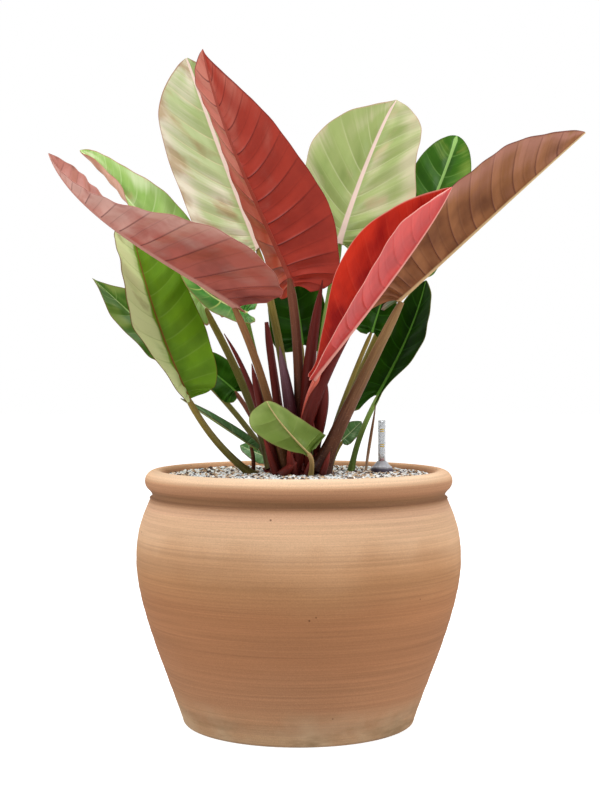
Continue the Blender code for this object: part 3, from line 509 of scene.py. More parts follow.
def skin(name):
    """Petiole or sheath skin: smooth and satin, with lengthwise streaks and small pale flecks."""
    tip, middle, root, fleck, roughness = SKIN[name]
    made, tree = new_material("philodendron " + name)
    if tree is None:
        return made
    place = add(tree, "UVMap", uv_map="length")
    along = add(tree, "Attribute", attribute_name="along").outputs["Fac"]
    # streaks 1.5 mm wide and 30 mm long, and flecks 1 to 2 mm across
    streaks = drawn_out(tree, place, (600.0, 35.0, 1.0), 3.0)
    flecks = add(tree, "TexNoise", {"Vector": place, "Scale": 520.0, "Detail": 2.0})
    shifted = add(tree, "Math", (streaks, 0.30, along), operation="MULTIPLY_ADD")
    tone = add(tree, "ValToRGB", (shifted,), ((0.12, root), (0.55, middle), (1.10, tip)))
    tone = stain(tree, tone, fleck, flecks, 0.60, 0.74, 0.35)
    tone = shade(tree, tone, streaks, 0.3, 0.7, 0.82, 1.12)
    relief = add(tree, "Bump", {"Height": streaks, "Strength": 0.35, "Distance": 0.0006})
    finish_surface(tree, tone, roughness, 0.20, relief, IOR=1.45)
    return made


def terracotta():
    """Unglazed thrown earthenware: warm clay with rings from the throwing, drifts of paler slip,
    fine grit, a few dark pits and a dull mineral bloom near the foot, with painted shade under the
    rim and a painted highlight on its top.  It is matt all over."""
    made, tree = new_material("unglazed thrown terracotta")
    if tree is None:
        return made
    place = add(tree, "TexCoord").outputs["Object"]
    x, y, z = add(tree, "SeparateXYZ", (place,)).outputs
    # drifts of tone 60 mm wide, rings of tone 15 mm apart, lines 1.5 mm apart, and fine grit
    drift = add(tree, "TexNoise", {"Vector": place, "Scale": 9.0, "Detail": 3.0})
    rings = drawn_out(tree, place, (2.2, 2.2, 62.0), 3.0, Distortion=0.25)
    lines = drawn_out(tree, place, (5.0, 5.0, 520.0), 2.0)
    grains = add(tree, "TexNoise", {"Vector": place, "Scale": 900.0, "Detail": 2.0})
    raised = add(tree, "Math", (drift, 0.05, z), operation="MULTIPLY_ADD")
    share = add(tree, "MapRange", (raised, 0.025, 0.325))
    body = add(tree, "ValToRGB", (share,), (
        (0.00, "#C09C78"), (0.07, "#B68A66"), (0.16, "#AF7F5C"), (0.33, "#A87551"),
        (0.50, "#AA7650"), (0.60, "#B08058"), (0.68, "#C0936C"), (0.76, "#D8AF8A"),
        (0.86, "#D6AD8B"), (1.00, "#CFA585")))
    # the rim: painted shade in the groove under it and under its roll, painted light that makes it paler
    # towards its top, and a painted highlight on the front of its top
    up = add(tree, "MapRange", (z, 0.250, 0.294))
    rim = add(tree, "ValToRGB", (up,), (
        (0.00, "#D0A686"), (0.14, "#C69C7C"), (0.24, "#A67C5C"), (0.31, "#866044"),
        (0.42, "#906848"), (0.56, "#AE7E5C"), (0.72, "#B98966"), (0.88, "#DCAE86")))
    # painted highlight: a pale clay colour on the front of the rim's top
    front = add(tree, "MapRange", (y, 0.02, -0.12))
    top = add(tree, "MapRange", (up, 0.76, 1.0))
    painted_highlight = add(tree, "Math", (front, top), operation="MULTIPLY")
    rim = add(tree, "Mix", (painted_highlight, rim, "#FADCBA"), data_type="RGBA")
    # darker clay on the inside of the rim
    across = add(tree, "CombineXYZ", (x, y))
    away = add(tree, "VectorMath", (across,), operation="LENGTH")
    rim = stain(tree, rim, "#A8744E", away, 0.1640, 0.1570, 0.75)
    above = add(tree, "Math", (z, 0.250), operation="GREATER_THAN")
    tone = add(tree, "Mix", (above, body, rim), data_type="RGBA")
    for pattern, dark, light in ((rings, 0.92, 1.06), (lines, 0.90, 1.08), (grains, 0.90, 1.08)):
        tone = shade(tree, tone, pattern, 0.30, 0.70, dark, light)
    # a few pits, 1 to 3 mm across
    cells = add(tree, "TexVoronoi", {"Vector": place, "Scale": 34.0})
    tone = stain(tree, tone, "#5E3A26", cells, 0.045, 0.03, 0.75)
    # grey bloom in patches round the foot, and darker stains where water stood
    low = add(tree, "MapRange", (z, 0.045, 0.004))
    bloom = add(tree, "TexNoise", {"Vector": place, "Scale": 16.0, "Detail": 5.0})
    damp = drawn_out(tree, place, (13.0, 13.0, 45.0), 6.0, Roughness=0.65)
    for pattern, start, end, most, colour in ((bloom, 0.42, 0.62, 1.0, "#C4A888"),
                                              (damp, 0.50, 0.66, 0.7, "#8A6E4C")):
        patches = add(tree, "MapRange", (pattern, start, end, None, most))
        patches = add(tree, "Math", (low, patches), operation="MULTIPLY")
        tone = add(tree, "Mix", (patches, tone, colour), data_type="RGBA")
    fine = add(tree, "Bump", {"Height": grains, "Strength": 0.35, "Distance": 0.0004})
    relief = add(tree, "Bump", {"Height": lines, "Strength": 0.5, "Distance": 0.0004, "Normal": fine})
    finish_surface(tree, tone, 0.88, 0.25, relief)
    return made


def grit(name, pale, deep):
    """Broken mineral grit, such as pumice and lava: dull grains, each of its own tone."""
    made, tree = new_material("mineral grit, " + name)
    if tree is None:
        return made
    place = add(tree, "TexCoord").outputs["Object"]
    # one tone to a grain of about 4 mm
    cells = add(tree, "TexVoronoi", {"Vector": place, "Scale": 230.0}).outputs["Color"]
    pores = add(tree, "TexNoise", {"Vector": place, "Scale": 1400.0, "Detail": 2.0})
    split = add(tree, "SeparateColor", (cells,))
    mixed = add(tree, "Math", (pores, 0.35, split), operation="MULTIPLY_ADD")
    tone = add(tree, "ValToRGB", (mixed,), ((0.10, deep), (1.0, pale)))
    relief = add(tree, "Bump", {"Height": pores, "Strength": 0.5, "Distance": 0.0003})
    finish_surface(tree, tone, 0.85, 0.3, relief)
    return made


def plastic(name, colour, roughness, clear=0.0):
    """Moulded plastic: even colour, faintly uneven gloss.  clear lets light through."""
    made, tree = new_material(name)
    if tree is None:
        return made
    place = add(tree, "TexCoord").outputs["Object"]
    # smears and dust 3 mm across
    smears = add(tree, "TexNoise", {"Vector": place, "Scale": 330.0, "Detail": 2.0})
    rough = add(tree, "MapRange", (smears, None, None, roughness, roughness + 0.15 * (1.0 - clear)))
    tone = shade(tree, colour, smears, 0.0, 1.0, 0.92, 1.04)
    finish_surface(tree, tone, rough, 0.5, None, IOR=1.49, **{"Transmission Weight": clear})
    return made


# ---- small helpers
def table(values, t):
    """Catmull-Rom reading of equally spaced values, t from 0 to 1."""
    last = len(values) - 1
    at = min(max(t, 0.0), 1.0) * last
    first = min(int(at), last - 1)
    f = at - first
    p0, p1, p2, p3 = (values[min(max(k, 0), last)] for k in range(first - 1, first + 3))
    return 0.5 * (2 * p1 + (p2 - p0) * f + (2 * p0 - 5 * p1 + 4 * p2 - p3) * f * f
                  + (3 * p1 - p0 - 3 * p2 + p3) * f**3)


def bezier(points, t):
    """Point on a cubic Bezier curve."""
    a, b, c, d = (Vector(p) for p in points)
    s = 1.0 - t
    return a * s**3 + b * 3 * s * s * t + c * 3 * s * t * t + d * t**3


def bezier_tangent(points, t):
    """Unit direction of a cubic Bezier curve."""
    a, b, c, d = (Vector(p) for p in points)
    s = 1.0 - t
    return ((b - a) * s * s + (c - b) * 2 * s * t + (d - c) * t * t).normalized()


def bezier_length(points, steps=24):
    """Length of a Bezier curve."""
    places = [bezier(points, k / steps) for k in range(steps + 1)]
    return sum((end - start).length for start, end in zip(places, places[1:]))


def smooth(value, low, high):
    """0 below low, 1 above high, and a smooth step between them."""
    t = min(max((value - low) / (high - low), 0.0), 1.0)
    return t * t * (3.0 - 2.0 * t)


def arc(centre, radius, start, end, steps):
    """Points of an arc in the (radius, height) plane, angles in degrees."""
    angles = [math.radians(start + (end - start) * k / steps) for k in range(steps + 1)]
    return [(centre[0] + radius * math.cos(a), centre[1] + radius * math.sin(a)) for a in angles]


def to_mesh(bm, name):
    """The mesh of a bmesh, which is freed."""
    mesh = bpy.data.meshes.new(name)
    bm.to_mesh(mesh)
    bm.free()
    return mesh


def lay_uv(bm, name, place):
    """A UV map that gives each corner what place gives for its vertex."""
    uv = bm.loops.layers.uv.new(name)
    for face in bm.faces:
        for loop in face.loops:
            loop[uv].uv = place(loop.vert)


def place_piece(bm, name, materials, node, sharp, body=PLANTER):
    """Turn a bmesh into a finished piece that rides on a body.  It stands for a CAD node, which it
    hides, or stands for none.  Edges are sharp above so many degrees."""
    mesh = to_mesh(bm, name)
    for material in materials:
        mesh.materials.append(material)
    mesh.shade_smooth()
    mesh.set_sharp_from_angle(angle=math.radians(sharp))
    piece = bpy.data.objects.new(name, mesh)
    bpy.context.scene.collection.objects.link(piece)
    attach(piece, body)
    if node:
        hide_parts(node)


def turned(profile, sides, centre=(0.0, 0.0)):
    """A bmesh spun from a profile of (radius, height) points, which starts and ends on the axis or
    is joined end to end."""
    bm = bmesh.new()
    corners = [bm.verts.new((r, 0.0, z)) for r, z in profile]
    edges = [bm.edges.new(pair) for pair in zip(corners, corners[1:])]
    if profile[0][0] > 0.0:
        edges.append(bm.edges.new((corners[-1], corners[0])))
    bmesh.ops.spin(bm, geom=corners + edges, cent=(0, 0, 0), axis=(0, 0, 1),
                   angle=2 * math.pi, steps=sides, use_merge=True)
    bmesh.ops.remove_doubles(bm, verts=bm.verts[:], dist=1e-6)
    bmesh.ops.translate(bm, verts=bm.verts[:], vec=(*centre, 0.0))
    bmesh.ops.recalc_face_normals(bm, faces=bm.faces[:])
    return bm


# ---- pot
def make_pot(size):
    """Thrown pot with low rings round its outside."""
    foot = (size.foot_radius + size.foot_round, size.foot_round)
    belly, neck, rim = tuple(size.belly), tuple(size.neck), tuple(size.rim_centre)
    lower = (foot, (0.1534, 0.0590), (belly[0], 0.1350), belly)
    upper = (belly, (belly[0], 0.2220), (0.1822, 0.2405), neck)

    def body(inset, first, steps):
        low = [bezier([(r, z, 0.0) for r, z in lower], first + (1.0 - first) * k / steps)
               for k in range(steps + 1)]
        high = [bezier([(r, z, 0.0) for r, z in upper], k / steps) for k in range(1, steps + 1)]
        return [(at.x - inset, at.y) for at in low + high]

    def ringed(point):
        coarse = noise.noise(Vector((3.1, 0.0, point[1] * 95.0)))
        fine = noise.noise(Vector((9.7, 0.0, point[1] * 340.0)))
        return point[0] + size.throwing * (coarse + 0.5 * fine), point[1]

    outer = [(0.0, 0.0)] + arc((size.foot_radius, size.foot_round), size.foot_round, -90, -10, 5)
    outer += [ringed(p) for p in body(0.0, 0.01, 70)[:-2]]
    # the ledge and groove under the rim, from where the ledge starts
    ledge = [(0.0012, 0.0002), (0.0015, 0.0008), (0.0010, 0.0014), (-0.0004, 0.0020),
             (-0.0013, 0.0030), (-0.0016, 0.0044), (-0.0012, 0.0060), (-0.0002, 0.0076)]
    outer += [(neck[0] + out, neck[1] - 0.0012 + up) for out, up in ledge]
    outer += arc(rim, size.rim_tube, -52, 205, 30)
    inner = body(size.wall, 0.12, 14)[::-1]
    inner += [(size.foot_radius - size.wall, size.floor), (0.0, size.floor)]
    bm = turned(outer + inner, size.sides)
    # a thrown pot is never quite round
    for vert in bm.verts:
        if vert.co.z > 0.5 * size.foot_round:
            sway = noise.noise(vert.co * 11.0) * 0.0005
            vert.co += Vector((vert.co.x, vert.co.y, 0.0)).normalized() * sway
    place_piece(bm, "thrown_pot", [terracotta()], "pot", 60.0)


# ---- granulate
def make_stone(rough, seed):
    """One angular grain of radius 1, as a mesh."""
    bm = bmesh.new()
    bmesh.ops.create_cube(bm, size=1.3)
    bmesh.ops.subdivide_edges(bm, edges=bm.edges[:], cuts=1, use_grid_fill=True, smooth=0.7)
    for vert in bm.verts:
        vert.co *= 1.0 + rough * noise.noise(vert.co * 1.4 + Vector((seed * 5.1, 0.0, 0.0)))
    bmesh.ops.recalc_face_normals(bm, faces=bm.faces[:])
    return to_mesh(bm, "grain")


def strew(places, stones):
    """A bmesh with a stone at each place, which is (position, radius, turn, stone's number)."""
    bm = bmesh.new()
    for position, radius, turn, number in places:
        stone = stones[number % len(stones)]
        matrix = Matrix.Translation(position) @ turn.to_4x4() @ Matrix.Diagonal(
            (radius, radius * 0.92, radius * 0.84, 1.0))
        stone.transform(matrix)
        bm.from_mesh(stone)
        stone.transform(matrix.inverted())
    return bm


# Kinds of grain: how many of them there are, as a running share, and their pale and deep tones.
GRAINS = {"white": (0.46, "#FBFBF8", "#C6D0D2"), "sand": (0.74, "#D8BE9C", "#946E4E"),
          "dark": (1.00, "#54433C", "#1C1210")}


def make_granulate(size):
    """Loose grains on the filling, in three kinds, in uneven heaps."""
    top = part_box("granulate")[1].z
    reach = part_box("pot")[1].x - 0.0365         # just inside the rim
    noise.seed_set(size.seed)
    kinds = {kind: [] for kind in GRAINS}
    pitch = size.spacing * 0.866        # from row to row of a triangular lattice
    rows = int(2 * reach / pitch) + 1
    for row in range(rows):
        y = -reach + row * pitch
        for column in range(rows):
            x = -reach + (column + 0.5 * (row % 2)) * size.spacing
            shake = noise.random_vector() * (0.45 * size.spacing)
            at = Vector((x + shake.x, y + shake.y, top))
            draw = noise.random()
            radius = size.size * (0.72 + 0.60 * noise.random())     # of the mean, 0.7 to 1.3
            turn = Vector(noise.random_unit_vector()).to_track_quat("Z", "Y").to_matrix()
            number = int(noise.random() * 997)
            if math.hypot(at.x, at.y) > reach - radius:
                continue
            # heaps 1 mm high and 20 mm across, and grains that lie higher or lower in them
            swell = 0.0011 * noise.noise(at * 45.0)
            at.z += swell - 0.0004 + 0.0010 * noise.random()
            kind = next(kind for kind, looks in GRAINS.items() if draw <= looks[0])
            kinds[kind].append((at, radius, turn, number))
    stones = [make_stone(0.35, seed) for seed in range(8)]
    for kind, places in kinds.items():
        finish = grit(kind, *GRAINS[kind][1:])
        place_piece(strew(places, stones), "grains_" + kind, [finish], None, 35.0)
    for stone in stones:
        bpy.data.meshes.remove(stone)
    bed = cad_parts["granulate"]
    bed.data.materials.clear()
    bed.data.materials.append(grit("bed", "#6A5E58", "#2A211E"))


# ---- water gauge
EASE = 0.0006                 # rounding of the gauge's moulded edges
TICK = 0.0006                 # half height of a tick on the tube


def gauge_part(node):
    """Bottom, top and radius of a round part of the gauge."""
    low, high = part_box(node)
    return low.z, high.z, 0.5 * (high.x - low.x)


def gauge_centre():
    """Where the gauge's axis stands."""
    low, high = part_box("gauge_tube")
    return 0.5 * (low.x + high.x), 0.5 * (low.y + high.y)


def make_gauge():
    """Clear tube with two pairs of plain tick marks, a clear cone and a dark collar."""
    centre = gauge_centre()
    low, high, outer = gauge_part("gauge_tube")
    inner = outer - 0.0010
    cap = high - 0.0012
    bm = turned([(0.0, cap), (inner - 0.0004, cap), (inner, cap - 0.0004), (inner, low), (outer, low)]
                + arc((outer - 0.0009, high - 0.0009), 0.0009, 0, 90, 5) + [(0.0, high)], 40, centre)
    clear = plastic("clear acrylic, extruded", "#E2E4E6", 0.12, 0.80)
    place_piece(bm, "gauge_clear_tube", [clear], "gauge_tube", 40.0)
    around = outer + 0.0004
    low, high, wide = gauge_part("gauge_collar")
    bm = turned([(around, low), (wide - EASE, low)]
                + arc((wide - EASE, low + EASE), EASE, -60, 0, 3)
                + arc((wide - 2 * EASE, high - 2 * EASE), 2 * EASE, 0, 90, 5) + [(around, high)],
                48, centre)
    dark = plastic("moulded polypropylene, dark violet grey", "#453E50", 0.25)
    place_piece(bm, "gauge_dark_collar", [dark], "gauge_collar", 40.0)
    low, high, wide = gauge_part("gauge_cone")
    bm = turned([(around, low), (wide, low), (wide - 0.0004, low + 0.0014),
                 (wide - 0.0030, low + 0.0030), (0.0075, high - 0.0024), (0.0064, high - 0.0008),
                 (0.0056, high), (around, high)], 48, centre)
    cone = plastic("clear polystyrene, moulded", "#C9CAD2", 0.14, 0.30)
    place_piece(bm, "gauge_clear_cone", [cone], "gauge_cone", 40.0)
    # ticks that run 66 degrees round the tube
    marks = plastic("printed ink, yellow", "#E0B92C", 0.45)
    for number, height in enumerate((0.3189, 0.3211, 0.3369, 0.3391)):
        bm = bmesh.new()
        corners = [bm.verts.new((outer + out, 0.0, height + up)) for out, up in (
            (0.00003, -TICK), (0.00015, -TICK), (0.00015, TICK), (0.00003, TICK))]
        start = bm.faces.new(corners)
        bmesh.ops.rotate(bm, verts=bm.verts[:], cent=(0, 0, 0),
                         matrix=Matrix.Rotation(math.radians(-123), 3, "Z"))
        bmesh.ops.spin(bm, geom=[start, *start.edges, *start.verts], cent=(0, 0, 0),
                       axis=(0, 0, 1), angle=math.radians(66), steps=12)
        bmesh.ops.translate(bm, verts=bm.verts[:], vec=(*centre, 0.0))
        bmesh.ops.recalc_face_normals(bm, faces=bm.faces[:])
        place_piece(bm, "gauge_mark_%d" % (number + 1), [marks], None, 40.0)


def make_float():
    """The float: foam buoy, rod and red marker."""
    low, high, buoy = gauge_part("gauge_float")
    rod, head, tall = 0.0012, 0.0027, 0.0050        # radii of the rod and the marker, its height
    bm = turned([(0.0, low), (buoy - EASE, low)]
                + arc((buoy - EASE, low + EASE), EASE, -60, 0, 3)
                + arc((buoy - EASE, low + 0.0294), EASE, 0, 60, 3)
                + [(rod, low + 0.0310), (rod, high - tall - 0.0010), (head, high - tall)]
                + arc((head - EASE, high - EASE), EASE, 0, 90, 4) + [(0.0, high)],
                32, gauge_centre())
    red = plastic("moulded polystyrene, orange red", "#D6301A", 0.35)
    place_piece(bm, "gauge_red_float", [red], "gauge_float", 40.0, body=FLOAT)


# ---- crown and stems
def make_tube(points, radius, section, sides, steps, up):
    """A bmesh tube along a Bezier curve, closed at both ends.  radius gives the radius at t, section
    the share of it at an angle from the side that looks up."""
    length = bezier_length(points)
    bm = bmesh.new()
    bmesh.ops.create_grid(bm, x_segments=sides, y_segments=steps, size=1.0)
    around = bm.verts.layers.float.new("around")
    run = bm.verts.layers.float.new("along")
    for vert in bm.verts:
        angle = math.pi * vert.co.x
        t = 0.5 * (vert.co.y + 1.0)
        tangent = bezier_tangent(points, t)
        normal = Vector(up)
        normal = (normal - tangent * normal.dot(tangent)).normalized()
        side = tangent.cross(normal)
        r = radius(t) * section(angle, t)
        vert[around] = angle * radius(0.5)
        vert[run] = t
        vert.co = bezier(points, t) + (normal * math.cos(angle) + side * math.sin(angle)) * r
    lay_uv(bm, "length", lambda vert: (vert[around], vert[run] * length))
    bmesh.ops.remove_doubles(bm, verts=bm.verts[:], dist=1e-6)
    bmesh.ops.holes_fill(bm, edges=[edge for edge in bm.edges if edge.is_boundary], sides=0)
    bmesh.ops.recalc_face_normals(bm, faces=bm.faces[:])
    return bm


def blade_frame(leaf, t):
    """Centre, direction and upper normal of the midrib at t."""
    tangent = bezier_tangent(leaf.rib, t)
    normal = Vector(leaf.face).lerp(Vector(leaf.tip_face), t)
    normal = (normal - tangent * normal.dot(tangent)).normalized()
    return bezier(leaf.rib, t), tangent, normal


def make_stalk(leaf):
    """Petiole: round, with a shallow channel on its upper side and a broad clasping base."""
    node = "stalk_" + leaf.name
    foot, neck = leaf.radius
    centre, tangent, normal = blade_frame(leaf, 0.0)
    # where the stalk runs straight on into the midrib it reaches far under the blade
    straight = smooth((centre - Vector(leaf.stalk[1])).normalized().dot(tangent), 0.91, 0.98)
    end = centre + tangent * ((0.5 + 2.5 * straight) * neck) - normal * (0.6 * neck)
    start = Vector((*leaf.root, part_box(node)[0].z - 0.002))

    # thicker where it clasps the crown, and thinner again where it enters the blade
    def radius(t):
        thick = foot + (neck - foot) * t + 0.55 * foot * max(0.0, 1.0 - t / 0.22) ** 2
        return thick * (1.0 - (0.25 + 0.40 * straight) * smooth(t, 0.90, 1.0))

    def section(angle, t):
        channel = math.exp(-(angle / 0.55) ** 2)
        return 1.0 - 0.16 * channel * smooth(t, 0.0, 0.3) - 0.05 * math.cos(2 * angle)

    bm = make_tube((start, *leaf.stalk, end), radius, section, 20, 44, normal)
    place_piece(bm, "petiole_" + leaf.name, [skin(leaf.petiole)], node, 70.0)


def make_sheath(name, finish, root, inner, radii):
    """Sheath that a leaf grew out of: fleshy, flattened, folded round itself and pointed."""
    node = "sheath_" + name
    start = Vector((*root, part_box(node)[0].z - 0.002))

    def radius(t):
        return table(radii, t)

    def section(angle, t):
        seam = math.exp(-((angle - 1.0) / 0.16) ** 2)
        lap = 0.09 * smooth(angle, 1.0, 1.3) * (1.0 - smooth(angle, 2.2, 3.1))
        return 1.0 - 0.13 * seam * (1.0 - t) + lap + 0.10 * math.cos(2 * angle)

    bm = make_tube((start, *inner), radius, section, 24, 40, (0.25, -1.0, 0.2))
    place_piece(bm, "spathe_" + name, [skin(finish)], node, 70.0)


def make_scale(name, points, girth):
    """A dried scale or the stub of an old petiole: a flattened, pointed wedge."""
    lean = (points[3] - points[0]).cross(Vector((0.0, 0.0, 1.0))) + Vector((0.0, -0.001, 0.0))
    bm = make_tube(points, lambda t: girth * (1.0 - 0.94 * t**1.8),
                   lambda angle, t: 1.0 + 0.25 * math.cos(2 * angle) + 0.06 * math.cos(5 * angle),
                   16, 12, lean)
    place_piece(bm, name, [skin("crown scale")], None, 70.0)


def make_crown():
    """The short woody stem, knobbed with leaf scars, and the scales and stubs round it."""
    low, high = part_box("crown")
    centre = 0.5 * (low + high)
    wide = 0.5 * (high - low)
    bm = bmesh.new()
    bmesh.ops.create_icosphere(bm, subdivisions=5, radius=1.0)
    around = bm.verts.layers.float.new("around")
    run = bm.verts.layers.float.new("along")
    for vert in bm.verts:
        out = vert.co.copy()
        knob = 0.22 * noise.noise(out * 2.6) + 0.10 * noise.noise(out * 6.5)
        grow = 1.0 + knob + 0.03 * math.sin(40.0 * out.z)
        vert[around] = math.atan2(out.y, out.x) * wide.x
        vert[run] = 0.3 + 0.7 * noise.noise(out * 4.0)
        vert.co = Vector((centre.x + out.x * wide.x * 0.92 * grow,
                          centre.y + out.y * wide.y * 0.92 * grow,
                          low.z - 0.004 + max(out.z, -0.1) * 0.026 * grow))
    lay_uv(bm, "length", lambda vert: (vert[around], vert.co.z))
    bmesh.ops.recalc_face_normals(bm, faces=bm.faces[:])
    place_piece(bm, "woody_crown", [skin("crown scale")], "crown", 70.0)
    scales = 14
    for number in range(scales):
        turn = 2.0 * math.pi * (number + 0.3 * math.sin(7.0 * number)) / scales
        lean = Vector((math.cos(turn), math.sin(turn), 0.0))
        tall = 0.022 + 0.014 * abs(math.sin(3.3 * number))
        foot = Vector((centre.x, centre.y, low.z - 0.003)) + lean * 0.021
        points = [foot + lean * out + Vector((0, 0, share * tall)) for out, share in (
            (0.0, 0.0), (0.007, 0.4), (0.012, 0.8), (0.015 + 0.006 * math.sin(number), 1.0))]
        make_scale("crown_scale_%02d" % (number + 1), points, 0.0068 + 0.0016 * math.sin(5.0 * number))
    for number, (foot, tip, girth) in enumerate(mm(STUBS)):
        points = [Vector(foot).lerp(Vector(tip), share) for share in (0.0, 0.35, 0.7, 1.0)]
        make_scale("crown_stub_%d" % (number + 1), points, girth)


# ---- leaves
def vein_rows(spacing):
    """Stations of the rows of a blade's grid, from base to tip, each with its vein's strength and
    how far it lies between one main vein and the next.  spacing is a share of the midrib."""
    # two main veins in the lobes, and the others an even way apart along the midrib
    mains = [0.0, 0.10, 0.20]
    start = 0.105
    while start < 0.93:
        low, high = 0.2, 1.0
        for _ in range(30):
            middle = 0.5 * (low + high)
            if table(VEIN_START, middle) < start:
                low = middle
            else:
                high = middle
        mains.append(low)
        start += spacing
    mains.append(1.0)
    # rows from one main vein to the next, with a fine vein halfway: place and strength
    steps = ((0.0, 1.0), (0.018, 0.70), (0.044, 0.0), (0.13, 0.0), (0.27, 0.0), (0.40, 0.0),
             (0.47, 0.0), (0.50, 0.35), (0.53, 0.0), (0.62, 0.0), (0.76, 0.0), (0.89, 0.0),
             (0.956, 0.0), (0.982, 0.70))
    rows = []
    for first, last in zip(mains, mains[1:]):
        for step, strength in steps:
            rows.append((first + (last - first) * step, strength, step))
    rows[0] = (0.0, 0.0, 0.0)
    rows.append((1.0, 0.0, 0.0))
    return rows


def row_points(leaf, size, length, row, side, shares, seed):
    """Positions and looks of one row of a half blade, from the midrib out to the margin."""
    along, strength, between = row
    power, bend = leaf.lean[side]
    start, end = max(table(VEIN_START, along), 0.0) ** power, table(VEIN_END, along)
    narrowing = 1.0 + (leaf.point - 1.0) * min(2.0 * along, 1.0)
    reach = max(table(leaf.half[side], along), 0.0) ** narrowing * leaf.width[side]
    # an outline that is uneven by a twentieth
    reach *= 1.0 + 0.05 * noise.noise(Vector((along * 8.0, 5.0 * side, seed + 9.0)))
    if end < 0:
        end *= leaf.lobe[side]
    sweep = bend + 0.6 * (1.0 - along) ** 6
    taper = 1.0 - 0.75 * along
    tall, count, phase = leaf.wave
    angle = math.radians(table(leaf.fold[side], along))
    full = max(reach / leaf.width[side], 0.05)
    out = lift = last = 0.0
    for share in shares:
        step = (share - last) * reach
        middle = 0.5 * (share + last)
        turn = angle + CURL * middle * full
        for where, station, spread, first, degrees in leaf.rolls:
            if where == side:
                near = math.exp(-((along - station) / spread) ** 2)
                turn += math.radians(degrees) * near * smooth(middle, first, 1.0)
        out += step * math.cos(turn)
        lift += step * math.sin(turn)
        last = share
        place = start + (end - start) * share**sweep
        t = min(max(place, 0.0), 1.0)
        centre, tangent, normal = blade_frame(leaf, t)
        centre += tangent * (place - t) * length
        sideways = tangent.cross(normal) * (1 if side else -1)
        upper = normal * math.cos(turn) - sideways * math.sin(turn)
        small = min(reach / FULL_RELIEF, 1.0)
        swell = size.quilting * leaf.quilt * small * math.sin(math.pi * between) ** 2
        swell *= smooth(share, shares[1], shares[1] + 0.25) * (1.0 - 0.6 * share)
        waving = tall * share**2.5 * math.sin(math.pi * min(along * 1.05, 1.0)) * math.sin(
            2 * math.pi * count * along + phase + 2.0 * side)
        loose = STRAY * small * share * noise.noise(Vector((along * 5.0, 3.0 * side, seed)))
        clear = smooth(share, shares[1], 2.2 * shares[1])
        groove = GROOVE * size.vein_height * strength * small * (1.0 - share) * clear
        co = centre + sideways * out + normal * lift + upper * (swell + waving + loose - groove)
        bump = size.vein_height * strength * small * taper * (1.0 - share) ** 0.6 * clear
        yield co, upper, share, bump, (share * reach * (1 if side else -1), along * length)


def second_colour(leaf, along, side, share, seed):
    """How much of the blade's second colour there is at a place, about 0 to 1."""
    every, left, right, rim, tip, streaks = leaf.wash
    half = (left, right)[side] * min(1.0, share * 5.0)
    band = noise.noise(Vector((along * 11.0, share * 1.5 + 7.0 * side, seed)))
    blotch = noise.noise(Vector((along * 4.0, share * 2.5 + 3.0 * side, seed + 20.0)))
    return every + half + rim * share**3 + tip * along + streaks * (0.6 * band + 0.7 * blotch)


def make_blade(leaf, size, seed):
    """Leaf blade: a grid whose rows follow the side veins, bent, quilted and given thickness."""
    length = bezier_length(leaf.rib)
    rows = vein_rows(size.vein_spacing / max(length, 0.09))
    half = 15               # columns of faces in half a blade
    bm = bmesh.new()
    bmesh.ops.create_grid(bm, x_segments=2 * half, y_segments=len(rows) - 1, size=1.0)
    layers = {key: bm.verts.layers.float.new(key)
              for key in ("rib", "vein", "edge", "wash", "across", "run", "depth")}
    normals = bm.verts.layers.float_vector.new("upper")
    grid = {(round(half * (vert.co.x + 1.0)), round((len(rows) - 1) * 0.5 * (vert.co.y + 1.0))): vert
            for vert in bm.verts}
    small = min(1.0, max(leaf.width) / FULL_RELIEF)
    for number, row in enumerate(rows):
        along, strength = row[:2]
        for side in (0, 1):
            # three columns at the midrib, the thin rim, and the others between them
            reach = max(table(leaf.half[side], along), 0.02) * leaf.width[side]
            rib_width = size.rib_width * leaf.ribbing * small * (1.0 - 0.76 * along)
            first = min(rib_width / reach, 0.30)
            shares = [0.0, first, 1.5 * first]
            rest = 1.0 - 1.5 * first
            shares += [1.5 * first + rest * (k / (half - 3)) ** 0.92 for k in range(1, half - 2)]
            shares[-1] = 1.0 - min(MARGIN / reach, 0.10)
            shares.append(1.0)
            for column, point in enumerate(row_points(leaf, size, length, row, side, shares, seed)):
                co, upper, share, bump, place = point
                vert = grid[(half + column if side else half - column, number)]
                vert.co = co
                vert[normals] = upper
                vert[layers["rib"]] = 1.0 if column < 2 else 0.0
                vert[layers["vein"]] = strength * (1.0 - share) ** 0.35 if column > 1 else 0.0
                vert[layers["edge"]] = 1.0 if column == half else 0.0
                vert[layers["wash"]] = second_colour(leaf, along, side, share, seed)
                vert[layers["across"]], vert[layers["run"]] = place
                deep = size.rib_height * small * (1.0 - 0.85 * along) * RIDGE.get(column, 0.0)
                vert[layers["depth"]] = size.thickness * (1.15 - 0.5 * share) + deep + bump
    bmesh.ops.remove_doubles(bm, verts=bm.verts[:], dist=0.00005)
    lay_uv(bm, "blade", lambda vert: (vert[layers["across"]], vert[layers["run"]]))
    grown = bmesh.ops.extrude_face_region(bm, geom=bm.faces[:])
    under = [part for part in grown["geom"] if isinstance(part, bmesh.types.BMFace)]
    for part in grown["geom"]:
        if isinstance(part, bmesh.types.BMVert):
            part.co -= part[normals] * part[layers["depth"]]
    for face in under:
        face.material_index = 1
    bmesh.ops.recalc_face_normals(bm, faces=bm.faces[:])
    place_piece(bm, "leaf_" + leaf.name, [lamina(leaf.upper), lamina(leaf.under)],
                "blade_" + leaf.name, 50.0)


# ---- stage
LAMPS = (("key", (-2.2, -1.3, 2.2), 46.0, 1.2), ("fill", (2.4, -1.0, 1.7), 38.0, 1.6),
         ("top", (0.2, 0.4, 2.6), 22.0, 1.6))       # place, power in watts and size of each


